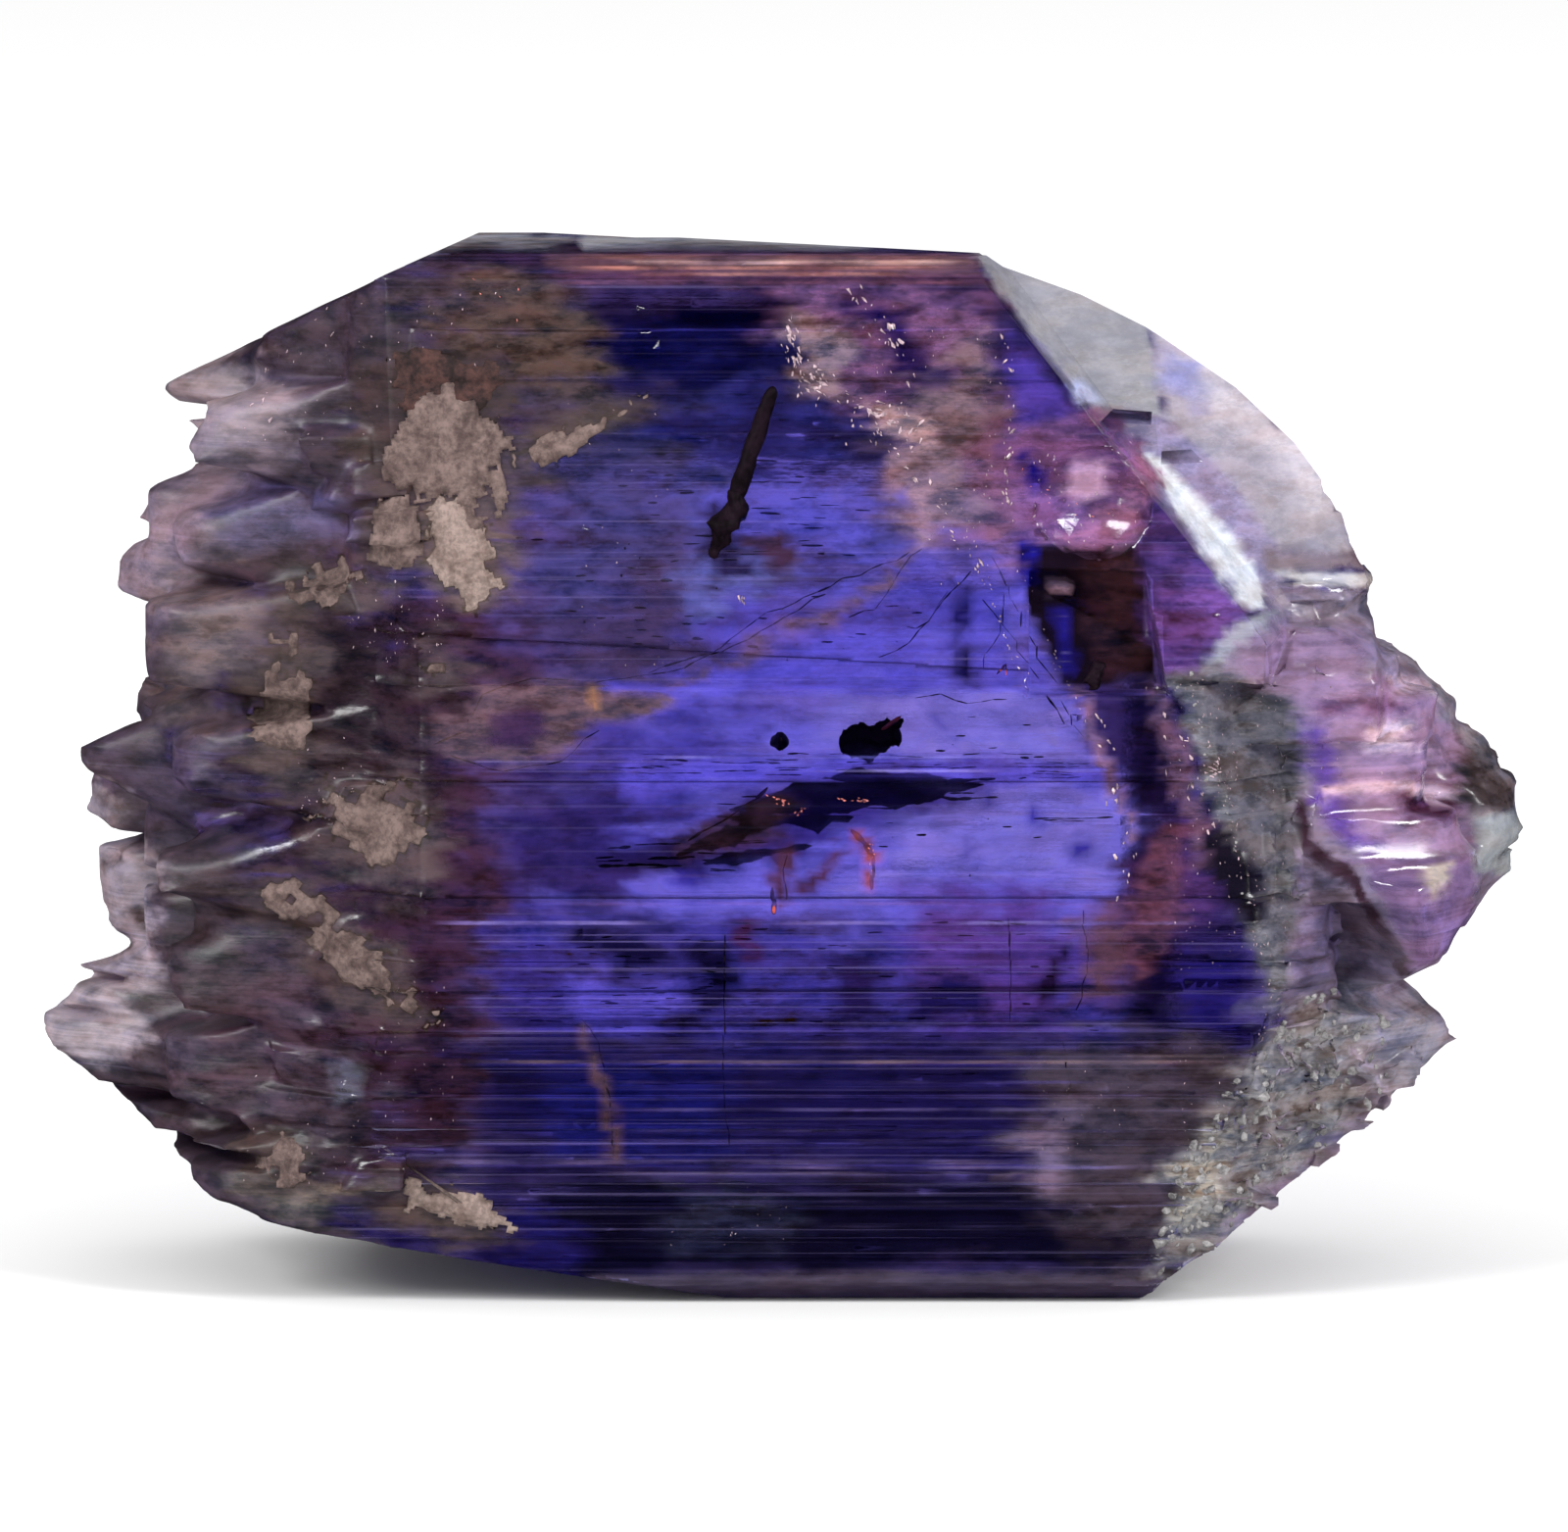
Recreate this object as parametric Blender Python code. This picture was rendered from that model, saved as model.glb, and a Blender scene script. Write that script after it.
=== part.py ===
"""Tanzanite crystal: one etched zoisite prism, 24 mm along its striations.

It stands on a flat prism face at Z = 0. The striations run level along X, the broad face
looks along -Y, the left end is etched to stepped points and the right end is a clear wedge
over ribbed lumps. Sizes are in millimetres until MM turns them to metres. A face is given
as a point on it and the direction it looks out; a corner or a span is given in X, Y, Z.
"""

import math
import random

import bmesh
import bpy
from mathutils import Euler, Matrix, Vector

MM = 0.001
GROWTH_SEED = 20

# The prism, seen along X: the face it stands on, the broad front, the back and the top
HEIGHT = 16.5
FRONT_Y = -5.3
BACK_Y = 5.4
RIDGE_Z = 6.2
REST_LEFT_X = -2.2
REST_RIGHT_X = 5.6
REST_BACK_Y = 3.0
LEFT_END_X = -8.3
RIGHT_END_X = 8.5
SIDE_ROOM = 6.0

FRONT_FACES = {
    "broad_front": ((0, FRONT_Y, RIDGE_Z), (0, -0.996, 0.085)),
    "striated_front": ((0, FRONT_Y, RIDGE_Z), (0, -0.966, -0.26)),
    "bottom_bevel": ((0, -3.75, 0.3), (0, -0.56, -0.83)),
    "top_bevel": ((0, -4.5, 16.1), (0, -0.45, 0.893)),
}
BACK_FACES = {
    "lean_in": ((0, REST_BACK_Y, 0), (0, 0.9, -0.43)),
    "back": ((0, BACK_Y, 5.0), (0, 0.998, 0.06)),
    "long_slope": ((0, 4.9, 12.3), (0, 0.62, 0.785)),
}
OUTLINE_SLOPES = {
    "top_left": ((-5.3, 0, 16.35), (-0.42, 0.06, 0.9)),
    "bottom_left": ((REST_LEFT_X, 0, 0), (-0.16, -0.06, -0.985)),
    "bottom_left_corner": ((-9.34, 0, 1.6), (-0.625, 0, -0.78)),
    "bottom_right": ((REST_RIGHT_X, 0, 0), (0.581, 0, -0.814)),
}
BODY_ENDS = {
    "etched_front_left": ((-5.7, -5.1, 8), (-0.62, -0.78, 0.05)),
    "etched_back_left": ((-6.4, 4.8, 8), (-0.6, 0.79, -0.06)),
    "diagonal_break": ((2.93, -4.5, 16.15), (0.74, -0.29, 0.607)),
    "rough_break": ((6.2, -5.2, 9.9), (0.72, -0.655, 0.227)),
    "rough_break_foot": ((7.55, -5.0, 4.9), (0.677, -0.588, -0.442)),
    "back_right": ((6.0, 4.6, 8), (0.72, 0.69, 0.05)),
}

# The part above the long step of the front stands this far proud of the part below
UPPER_STEP = 0.07
UPPER_ENDS = {
    "etched_front_left": ((-5.8, -5.1, 12), (-0.62, -0.78, 0.05)),
    "diagonal_break": ((2.98, -4.55, 16.2), (0.74, -0.29, 0.607)),
    "right_edge": ((7.5, -4.9, 10.5), (0.93, -0.36, -0.1)),
    "long_step": ((6.2, -4.9, 9.95), (-0.06, -0.1, -0.98)),
}

# Heights between the long strips of the front and the back, and how proud a strip may stand
FRONT_STEPS = (
    0.25, 0.7, 1.05, 1.6, 1.95, 2.6, 2.85, 3.4, 4.1, 4.45, 5.1, 5.6, 6.6, 7.9, 8.4, 9.9, 14.6, 15.4,
)
BACK_STEPS = (0.6, 1.3, 2.2, 2.7, 3.8, 4.6, 5.9, 6.6, 7.0, 8.3, 9.1, 10.6, 11.2, 12.8, 14.0)
STEP_HEIGHT = 0.09
LONG_STEP_Z = 9.0

# The thin edge of the clear wedge, from the top corner down to its right tip
WEDGE_EDGE = (
    (2.7, -3.4, 16.5), (4.58, -3.12, 15.8), (5.8, -2.85, 15.1), (7.04, -2.5, 14.3),
    (7.96, -2.2, 13.4), (8.73, -2.15, 12.38), (9.12, -2.2, 11.35),
)
WEDGE_LEAN = Vector((-2.4, 6.5, -2.2))
WEDGE_CORNER = (5.8, -3.75, 13.3)
WEDGE_FRONT = {
    "inner_facet": (WEDGE_CORNER, (0.25, -0.9, 0.34)),
    "outer_facet": (WEDGE_CORNER, (0.55, -0.8, 0.335)),
    "underside": ((8.8, -2.2, 11.0), (0.35, 0.1, -0.93)),
}
LEDGE_ENDS = {
    "end": ((8.9, -2.4, 11.3), (0.9, -0.3, 0.3)),
    "front": ((9.0, -2.9, 11.3), (0.35, -0.93, 0.0)),
}
WEDGE_FOOT_ENDS = {
    "front": ((9.0, -2.3, 10.9), (0.85, -0.3, -0.42)),
    "back": ((9.0, 2.0, 10.8), (0.5, 0.85, 0.1)),
}

# Etched points: root span and tip span as (X, (low Y, high Y), (low Z, high Z))
LEFT_POINTS = {
    "top": ((-5.0, (-2.6, 3.0), (12.2, 16.2)), (-10.1, (-0.6, 1.0), (13.75, 14.15))),
    "shoulder": ((-5.0, (-3.4, 2.4), (9.9, 13.6)), (-10.75, (-1.6, 0.6), (10.85, 11.95))),
    "shoulder_step": ((-5.0, (-2.4, 2.0), (9.6, 13.9)), (-10.2, (-0.9, 0.9), (10.9, 12.5))),
    "notch": ((-5.0, (-2.8, 2.8), (8.4, 11.4)), (-10.0, (-1.4, 1.4), (9.1, 10.4))),
    "middle": ((-5.0, (-4.2, 0.2), (5.4, 11.4)), (-11.25, (-2.0, -1.2), (8.15, 8.5))),
    "pale_upper": ((-5.0, (-0.9, 3.6), (6.2, 8.9)), (-11.4, (0.4, 2.4), (7.0, 8.0))),
    "pale_lower": ((-5.0, (-1.2, 3.8), (4.2, 7.6)), (-11.15, (0.3, 2.6), (5.2, 6.6))),
    "foot": ((-5.0, (-3.0, 3.0), (-1.3, 6.6)), (-12.0, (-0.6, 0.7), (3.6, 4.1))),
    "foot_step": ((-5.0, (-3.2, 3.2), (-1.2, 6.4)), (-11.5, (-0.9, 1.2), (3.2, 4.8))),
    "toe": ((-5.0, (-3.6, 3.4), (-1.0, 4.4)), (-10.5, (-1.6, 1.6), (2.4, 3.4))),
    "front_high": ((-4.6, (-4.6, -2.0), (10.2, 13.6)), (-8.9, (-3.3, -2.4), (11.7, 12.5))),
    "front_middle": ((-4.6, (-4.9, -2.0), (4.9, 7.4)), (-9.4, (-3.4, -2.4), (5.9, 6.7))),
    "front_low": ((-4.6, (-4.5, -1.6), (2.2, 4.9)), (-9.9, (-3.0, -1.9), (3.0, 4.2))),
    "back_high": ((-4.6, (1.6, 4.7), (11.2, 14.2)), (-9.0, (2.5, 3.4), (12.2, 13.0))),
    "back_middle": ((-4.6, (1.6, 5.1), (8.2, 11.2)), (-9.9, (2.7, 3.7), (9.2, 10.2))),
    "back_step": ((-4.6, (2.2, 5.2), (5.4, 8.4)), (-9.0, (3.4, 4.4), (6.4, 7.6))),
    "back_low": ((-4.6, (1.2, 4.4), (2.0, 5.6)), (-10.4, (2.3, 3.3), (3.2, 4.4))),
}
RIGHT_POINTS = {
    "back_top": ((4.0, (1.4, 4.9), (9.0, 11.6)), (8.7, (2.2, 3.2), (9.7, 10.6))),
    "back_middle": ((4.0, (1.4, 5.1), (6.4, 9.2)), (10.1, (2.4, 3.5), (7.3, 8.4))),
    "back_step": ((4.0, (1.4, 5.1), (4.2, 6.9)), (9.2, (2.6, 3.8), (5.0, 6.1))),
    "back_low": ((4.0, (0.6, 4.2), (2.0, 4.8)), (9.6, (1.5, 2.7), (3.0, 4.2))),
}

# The rounded lumps behind the ribbed one: their outlines as (X, Z), from the top down
FAR_LUMPS = {
    "far_crest": ((8.4, 10.55), (9.3, 10.2), (10.05, 9.8), (10.8, 9.15), (11.05, 8.3), (11.0, 6.8)),
    "far_tip": (
        (9.6, 9.0), (10.95, 8.62), (11.45, 8.3), (11.85, 7.75), (12.0, 6.85), (11.65, 6.2), (10.9, 5.2),
        (9.0, 4.4),
    ),
}
FAR_ROOT_X = 5.5
FAR_DEPTH_Y = (-1.2, 3.2)
FAR_RIDGE_Y = 0.9
FAR_LEANS = (-0.34, 0.4)

# How far the etched left end reaches at each height, as (height, X)
LEFT_REACH = (
    (1.5, -8.9), (2.7, -10.8), (3.9, -12.0), (5.1, -11.0), (7.9, -11.4), (8.9, -10.5),
    (9.9, -9.95), (10.8, -10.7), (12.1, -10.7), (12.9, -9.5), (14.2, -10.05), (15.2, -8.2),
)

# Rows and columns of short points over the left end, and how they are spread
SMALL_ROWS = 8
SMALL_COLUMNS = 4
SMALL_LOW_Z = 2.1
SMALL_FRONT_Y = -3.1
SMALL_ROW_STEP = 1.65
SMALL_COLUMN_STEP = 2.05
SMALL_ROOT_X = -5.2
SMALL_TIP_X = -10.9
END_MIDDLE_Z = 7.5

# Ribs of the front lump from the top down, as (height, reach in X, half depth)
RIBS = (
    (9.85, 9.75, 1.5), (9.2, 10.3, 1.7), (8.55, 10.2, 1.75), (7.95, 10.15, 1.75),
    (7.35, 10.7, 1.85), (6.75, 10.9, 1.9),
)
RIB_THICKNESS = 0.78
RIB_Y = -2.35
RIB_ROOT_X = 6.3
RIB_FLATS = ((-68, 0.09), (-38, 0.02), (38, 0.02), (68, 0.09))
LUMP_FOOT_FACES = {
    "end": ((10.95, -2.6, 6.3), (0.86, -0.45, -0.1)),
    "slanting_face": ((10.95, -2.2, 6.2), (0.75, 0.1, -0.65)),
    "underside": ((9.9, -2.6, 4.95), (0.4, -0.2, -0.9)),
    "front": ((8.3, -4.2, 6.6), (-0.3, -0.93, 0.1)),
    "inner_edge": ((9.9, -3.6, 5.0), (-0.62, -0.6, -0.5)),
}
LUMP_CAP_FACES = {
    "front_dome": ((8.4, -4.3, 10.25), (0.2, -0.75, 0.62)),
    "right_dome": ((8.9, -3.6, 10.5), (0.5, -0.2, 0.84)),
    "left_dome": ((7.6, -4.2, 10.3), (-0.55, -0.5, 0.66)),
    "front": ((8.0, -4.55, 9.4), (0.1, -0.99, 0.0)),
}

# The grainy wedge at the lower right, thinning to a tip
FRAGMENT_TIP = (10.9, -0.7, 3.5)
FRAGMENT_BREAK = ((6.6, -4.2, 1.4), (7.5, -4.85, 4.8), FRAGMENT_TIP)
FRAGMENT_FACES = {
    "top": ((9.9, 0, 4.75), (0.45, -0.2, 0.87)),
    "tip_front": (FRAGMENT_TIP, (0.88, -0.2, 0.43)),
    "tip_back": (FRAGMENT_TIP, (0.62, 0.77, 0.1)),
}

# Patches of small chips: four corners, how many, how large, how far they tumble, and a seed
CHIP_PATCHES = {
    "etched_ledge": (((-5.9, -4.9, 14.6), (-8.6, -2.7, 13.4), (-9.3, -2.2, 2.6), (-6.2, -4.2, 1.6)),
                     36, 0.62, 0.14, 1),
    "break_chip": (((6.9, -4.6, 9.2), (8.2, -3.6, 9.0), (8.6, -3.4, 4.6), (7.5, -4.75, 4.6)),
                   12, 0.4, 0.45, 2),
    "grain": (((6.6, -3.9, 1.1), (9.9, -1.7, 2.9), (9.6, -2.3, 4.2), (7.4, -4.6, 4.4)),
              30, 0.34, 0.45, 3),
}

# Level slots that part the etched ends into thin plates, up to these heights
LEFT_SLOTS_Z = (2.2, 15.2)
RIGHT_SLOTS_Z = (3.4, 10.2)
OUTSIDE_X = 13.0

# The round hollow and the square notch beside the diagonal break, and the slits in the wedge
BOWL_CENTRE = (4.75, -5.85, 12.75)
BOWL_RADII = (1.25, 1.5, 1.25)
BOWL_FLOOR_Z = 11.78
NOTCH_LOW = (3.75, -6, 9.75)
NOTCH_HIGH = (6.2, -4.2, 11.66)
NOTCH_FACES = {
    "slanting_back": ((4.7, -4.6, 11.7), (0.25, 1.0, 0.5)),
    "right_side": ((5.55, -5, 11.7), (0.97, 0.1, 0.18)),
}
SLITS = ((5.15, 13.95, 1.1), (6.2, 13.2, 0.7), (6.9, 12.3, 0.5))
SLIT_THICKNESS = 0.18


def clear_scene():
    for thing in list(bpy.data.objects):
        bpy.data.objects.remove(thing, do_unlink=True)


def collection(name):
    made = bpy.data.collections.new(name)
    bpy.context.scene.collection.children.link(made)
    return made


def crystal_material():
    material = bpy.data.materials.new("tanzanite")
    material.use_nodes = True
    shader = material.node_tree.nodes["Principled BSDF"]
    shader.inputs["Base Color"].default_value = (0.13, 0.07, 0.42, 1.0)
    shader.inputs["Metallic"].default_value = 0.0
    shader.inputs["Roughness"].default_value = 0.12
    shader.inputs["IOR"].default_value = 1.69
    shader.inputs["Transmission Weight"].default_value = 0.8
    return material


def face_through(first, second, third, inner):
    """A face through three points, looking away from a point inside the crystal."""
    first, second, third = Vector(first), Vector(second), Vector(third)
    outward = (second - first).cross(third - first).normalized()
    if outward.dot(Vector(inner) - first) > 0:
        outward.negate()
    return first, outward


def moved_out(faces, distance):
    """The same faces, each moved the way it looks."""
    return [(Vector(point) + Vector(outward).normalized() * distance, outward) for point, outward in faces]


def trim(shape, faces):
    """Cuts a convex shape back to each face and closes it there."""
    for point, outward in faces:
        everything = shape.verts[:] + shape.edges[:] + shape.faces[:]
        cut = bmesh.ops.bisect_plane(
            shape,
            geom=everything,
            dist=1e-7,
            plane_co=Vector(point) * MM,
            plane_no=Vector(outward).normalized(),
            clear_outer=True,
        )
        rim = [edge for edge in cut["geom_cut"] if isinstance(edge, bmesh.types.BMEdge)]
        if rim:
            bmesh.ops.contextual_create(shape, geom=rim)


def keep(shape, name, home):
    """Makes the object of a finished shape, as a helper that is joined or cut and not shown."""
    if not shape.faces:
        raise ValueError(f"{name} was cut away whole")
    bmesh.ops.recalc_face_normals(shape, faces=shape.faces)
    mesh = bpy.data.meshes.new(name)
    shape.to_mesh(mesh)
    shape.free()
    made = bpy.data.objects.new(name, mesh)
    home.objects.link(made)
    made.hide_render = True
    made.display_type = "WIRE"
    return made


def block(name, low, high, faces, home, turn=None):
    """A box between two corners, turned about its middle if asked, then trimmed to its faces."""
    low, high = Vector(low) * MM, Vector(high) * MM
    shape = bmesh.new()
    place = Matrix.LocRotScale((low + high) / 2, turn, high - low)
    bmesh.ops.create_cube(shape, size=1.0, matrix=place)
    trim(shape, faces)
    return keep(shape, name, home)


def front_faces():
    return list(FRONT_FACES.values())


def back_faces():
    return list(BACK_FACES.values())


def outline_slopes():
    return list(OUTLINE_SLOPES.values())


def wedge_back():
    """The facets behind the clear wedge, one under each stretch of its edge."""
    inner = (0, 0, HEIGHT / 2)
    facets = []
    for near, far in zip(WEDGE_EDGE, WEDGE_EDGE[1:]):
        facets.append(face_through(near, far, Vector(near) + WEDGE_LEAN, inner))
    return facets


def outer_faces(out=0.0):
    return moved_out(front_faces() + back_faces() + outline_slopes() + wedge_back(), out)


def lower_body(home):
    low = (LEFT_END_X, -SIDE_ROOM, 0)
    high = (RIGHT_END_X, SIDE_ROOM, HEIGHT)
    return block("lower_body", low, high, outer_faces() + list(BODY_ENDS.values()), home)


def upper_body(home):
    """The part above the long step of the front, cut off by the diagonal break."""
    faces = moved_out(front_faces(), UPPER_STEP) + moved_out(wedge_back(), -0.04)
    faces += [OUTLINE_SLOPES["top_left"]] + list(UPPER_ENDS.values())
    low = (LEFT_END_X + 1.5, -SIDE_ROOM, LONG_STEP_Z)
    block("upper_body", low, (7.8, 1.0, HEIGHT - 0.03), faces, home)


def long_steps(home, chance):
    """Strips along the front and back that stand proud of each other, as growth leaves them."""
    for side, heights, faces, near, far in (
        ("front", FRONT_STEPS, front_faces(), -SIDE_ROOM, -1.0),
        ("back", BACK_STEPS, back_faces(), 1.0, SIDE_ROOM),
    ):
        for number, (low, high) in enumerate(zip(heights, heights[1:])):
            if number % 2:
                continue
            proud = STEP_HEIGHT * chance.uniform(0.35, 1.0)
            if side == "front" and low > LONG_STEP_Z:
                proud += UPPER_STEP
            ends = moved_out(BODY_ENDS.values(), chance.uniform(0.02, 0.12))
            cuts = moved_out(faces, proud) + moved_out(outline_slopes() + wedge_back(), -0.05) + ends
            low_corner = (LEFT_END_X - 0.1, near, low)
            high_corner = (RIGHT_END_X + 0.1, far, high)
            block(f"{side}_strip_{number}", low_corner, high_corner, cuts, home)


def clear_wedge(home):
    """The thin clear wedge at the upper right, the ledge along its underside and its foot."""
    faces = outer_faces() + list(WEDGE_FRONT.values())
    block("clear_wedge", (-2, -SIDE_ROOM, 9.2), (9.6, 5.2, HEIGHT - 0.06), faces, home)
    block("wedge_ledge", (5.8, -3.3, 11.0), (9.4, 0.5, 11.3), LEDGE_ENDS.values(), home)
    block("wedge_foot", (5.0, -3.05, 9.6), (9.2, 2.6, 11.05), WEDGE_FOOT_ENDS.values(), home)


def point_shape(name, root, tip, home, chance):
    """A tapering point from its root span to its tip span, ending in two slanting facets."""
    root_x, root_y, root_z = root
    tip_x, tip_y, tip_z = tip
    side = -1 if tip_x < root_x else 1
    inner = (root_x, sum(root_y) / 2, sum(root_z) / 2)
    middle = Vector((tip_x, sum(tip_y) / 2, sum(tip_z) / 2))
    faces = []
    for index in (0, 1):
        across = Vector((root_x, root_y[index], root_z[0]))
        over = Vector((root_x, root_y[index], root_z[1]))
        end = Vector((tip_x, tip_y[index], (tip_z[0] + tip_z[1]) / 2))
        faces.append(face_through(across, over, end, inner))
        across = Vector((root_x, root_y[0], root_z[index]))
        over = Vector((root_x, root_y[1], root_z[index]))
        end = Vector((tip_x, (tip_y[0] + tip_y[1]) / 2, tip_z[index]))
        faces.append(face_through(across, over, end, inner))
    faces.append((middle, (side, -chance.uniform(0.25, 0.6), chance.uniform(0.02, 0.14))))
    faces.append((middle, (side, chance.uniform(0.25, 0.6), -chance.uniform(0.02, 0.14))))
    faces += moved_out(front_faces() + back_faces() + outline_slopes(), -0.03)
    low = (min(root_x, tip_x), min(root_y[0], tip_y[0]), min(root_z[0], tip_z[0]))
    high = (max(root_x, tip_x), max(root_y[1], tip_y[1]), max(root_z[1], tip_z[1]))
    block(name, low, high, faces, home)


def etched_points(home, chance):
    for end, points in (("left", LEFT_POINTS), ("right", RIGHT_POINTS)):
        for name, (root, tip) in points.items():
            point_shape(f"{end}_{name}", root, tip, home, chance)


def far_lumps(home):
    """The lumps behind the ribbed one, each faceted to a ridge that follows its outline."""
    for name, outline in FAR_LUMPS.items():
        faces = []
        for (x, z), (next_x, next_z) in zip(outline, outline[1:]):
            for lean in FAR_LEANS:
                slope = Vector((z - next_z, 0, next_x - x)).normalized()
                faces.append(((x, FAR_RIDGE_Y, z), (slope.x, lean, slope.z)))
        widest = max(x for x, _ in outline)
        heights = [z for _, z in outline]
        low = (FAR_ROOT_X, FAR_DEPTH_Y[0], min(heights))
        block(name, low, (widest, FAR_DEPTH_Y[1], max(heights)), faces, home)


def left_reach(height):
    """The X of the left outline at a height."""
    for (low, low_x), (high, high_x) in zip(LEFT_REACH, LEFT_REACH[1:]):
        if height <= high:
            share = max(0.0, (height - low) / (high - low))
            return low_x + share * (high_x - low_x)
    return LEFT_REACH[-1][1]


def small_points(home, chance):
    """A field of short points over the left end, shorter towards its rim."""
    for row in range(SMALL_ROWS):
        for column in range(SMALL_COLUMNS):
            height = SMALL_LOW_Z + row * SMALL_ROW_STEP + chance.uniform(-0.3, 0.3)
            middle_y = SMALL_FRONT_Y + column * SMALL_COLUMN_STEP + chance.uniform(-0.5, 0.5)
            rim = max(abs(height - END_MIDDLE_Z) / 8.5, abs(middle_y) / 5.5)
            tip_x = SMALL_TIP_X + 2.6 * rim * rim + chance.uniform(-0.2, 0.9)
            tip_x = max(tip_x, left_reach(height) + 0.15)
            wide = chance.uniform(0.45, 0.95)
            tall = chance.uniform(0.3, 0.65)
            root_span = (
                SMALL_ROOT_X,
                (middle_y - wide - 0.7, middle_y + wide + 0.7),
                (height - 1.2, height + 1.2),
            )
            tip_span = (tip_x, (middle_y - wide, middle_y + wide), (height - tall, height + tall))
            point_shape(f"small_{row}_{column}", root_span, tip_span, home, chance)


def rib(name, height, reach_x, depth, home):
    """A rounded rib of the front lump, lying along X, with flats round its end."""
    half = RIB_THICKNESS / 2
    faces = []
    for degrees, inset in RIB_FLATS:
        angle = math.radians(degrees)
        flat = Vector((math.cos(angle), math.sin(angle), 0))
        faces.append((Vector((reach_x - depth, RIB_Y, height)) + flat * depth * (1 - inset), flat))
    for up in (-1, 1):
        for outward in ((0.6, -0.2, up), (0.1, -0.8, up)):
            corner = (reach_x - half * 0.6, RIB_Y - depth + half * 0.6, height + up * half)
            faces.append((corner, outward))
    low = (RIB_ROOT_X, RIB_Y - depth, height - half)
    block(name, low, (reach_x, RIB_Y + depth, height + half), faces, home)


def front_lump(home):
    """The ribbed lump at the right front, with a domed cap and a smooth slanting foot."""
    for number, (height, reach_x, depth) in enumerate(RIBS):
        rib(f"front_rib_{number}", height, reach_x, depth, home)
    block("lump_foot", (6.6, -4.5, 4.8), (11.0, 0.5, 6.75), LUMP_FOOT_FACES.values(), home)
    block("lump_cap", (6.6, -4.7, 8.9), (9.3, 0.0, 10.7), LUMP_CAP_FACES.values(), home)


def right_fragment(home):
    faces = outer_faces(-0.05) + [face_through(*FRAGMENT_BREAK, (4, 0, 3))]
    faces += FRAGMENT_FACES.values()
    block("right_fragment", (3.0, -5.2, 0), (11.2, 3.5, 5.2), faces, home)


def chips(name, corners, count, size, tumble, seed, home):
    """Small sharp chips half sunk in a four-cornered patch of a broken or etched face."""
    chance = random.Random(seed)
    first, second, third, fourth = (Vector(corner) for corner in corners)
    for number in range(count):
        across, along = chance.random(), chance.random()
        spot = first.lerp(second, across).lerp(fourth.lerp(third, across), along)
        half = Vector((size * chance.uniform(0.7, 1.5), size * 0.7, size * chance.uniform(0.3, 0.6)))
        faces = []
        for side in (-1, 1):
            outward = (side, chance.uniform(-0.8, 0.8), chance.uniform(-0.8, 0.8))
            faces.append((spot + Vector((side * half.x * 0.55, 0, 0)), outward))
        faces += moved_out(outline_slopes(), 0.02)
        turn = Euler([chance.uniform(-tumble, tumble) for _ in range(3)]).to_quaternion()
        block(f"{name}_{number}", spot - half, spot + half, faces, home, turn)


def slot_turn(chance):
    return Euler((chance.uniform(-0.12, 0.12), 0, chance.uniform(-0.3, 0.3))).to_quaternion()


def end_slots(home, chance):
    """Level slots that part the etched ends into thin plates."""
    height, top = LEFT_SLOTS_Z
    while height < top:
        thick = chance.uniform(0.04, 0.09)
        middle_y = chance.uniform(-2.4, 3.0)
        reach = chance.uniform(1.2, 2.6)
        deep_x = left_reach(height) + chance.uniform(0.3, 1.5)
        turn = slot_turn(chance)
        low = (-OUTSIDE_X, middle_y - reach, height - thick)
        block(f"left_slot_{height:.2f}", low, (deep_x, middle_y + reach, height + thick), [], home, turn)
        height += chance.uniform(0.5, 0.95)
    height, top = RIGHT_SLOTS_Z
    while height < top:
        thick = chance.uniform(0.04, 0.08)
        middle_y = chance.uniform(1.2, 3.4)
        deep_x = 10.0 + chance.uniform(-1.6, 0.6)
        turn = slot_turn(chance)
        low = (deep_x, middle_y - 1.6, height - thick)
        block(f"right_slot_{height:.2f}", low, (OUTSIDE_X, middle_y + 1.6, height + thick), [], home, turn)
        height += chance.uniform(0.6, 1.1)


def hollows(home):
    """The round hollow, the square notch below it and the slits in the clear wedge."""
    shape = bmesh.new()
    bowl = Matrix.LocRotScale(Vector(BOWL_CENTRE) * MM, None, Vector(BOWL_RADII) * MM)
    bmesh.ops.create_icosphere(shape, subdivisions=3, radius=1.0, matrix=bowl)
    trim(shape, [((0, 0, BOWL_FLOOR_Z), (0, 0, -1))])
    keep(shape, "bowl", home)
    block("square_notch", NOTCH_LOW, NOTCH_HIGH, NOTCH_FACES.values(), home)
    turn = Euler((0.2, 0.12, 0.1)).to_quaternion()
    for number, (x, z, length) in enumerate(SLITS):
        y = WEDGE_CORNER[1] + (z - WEDGE_CORNER[2]) * 0.38
        low = (x - length / 2, y - 0.9, z - SLIT_THICKNESS / 2)
        high = (x + length / 2, y + 0.45, z + SLIT_THICKNESS / 2)
        block(f"slit_{number}", low, high, [], home, turn)


def join(crystal, operation, others, solver="EXACT"):
    step = crystal.modifiers.new(f"{operation.lower()}_{others.name}", "BOOLEAN")
    step.operation = operation
    step.solver = solver
    step.operand_type = "COLLECTION"
    step.collection = others


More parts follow.
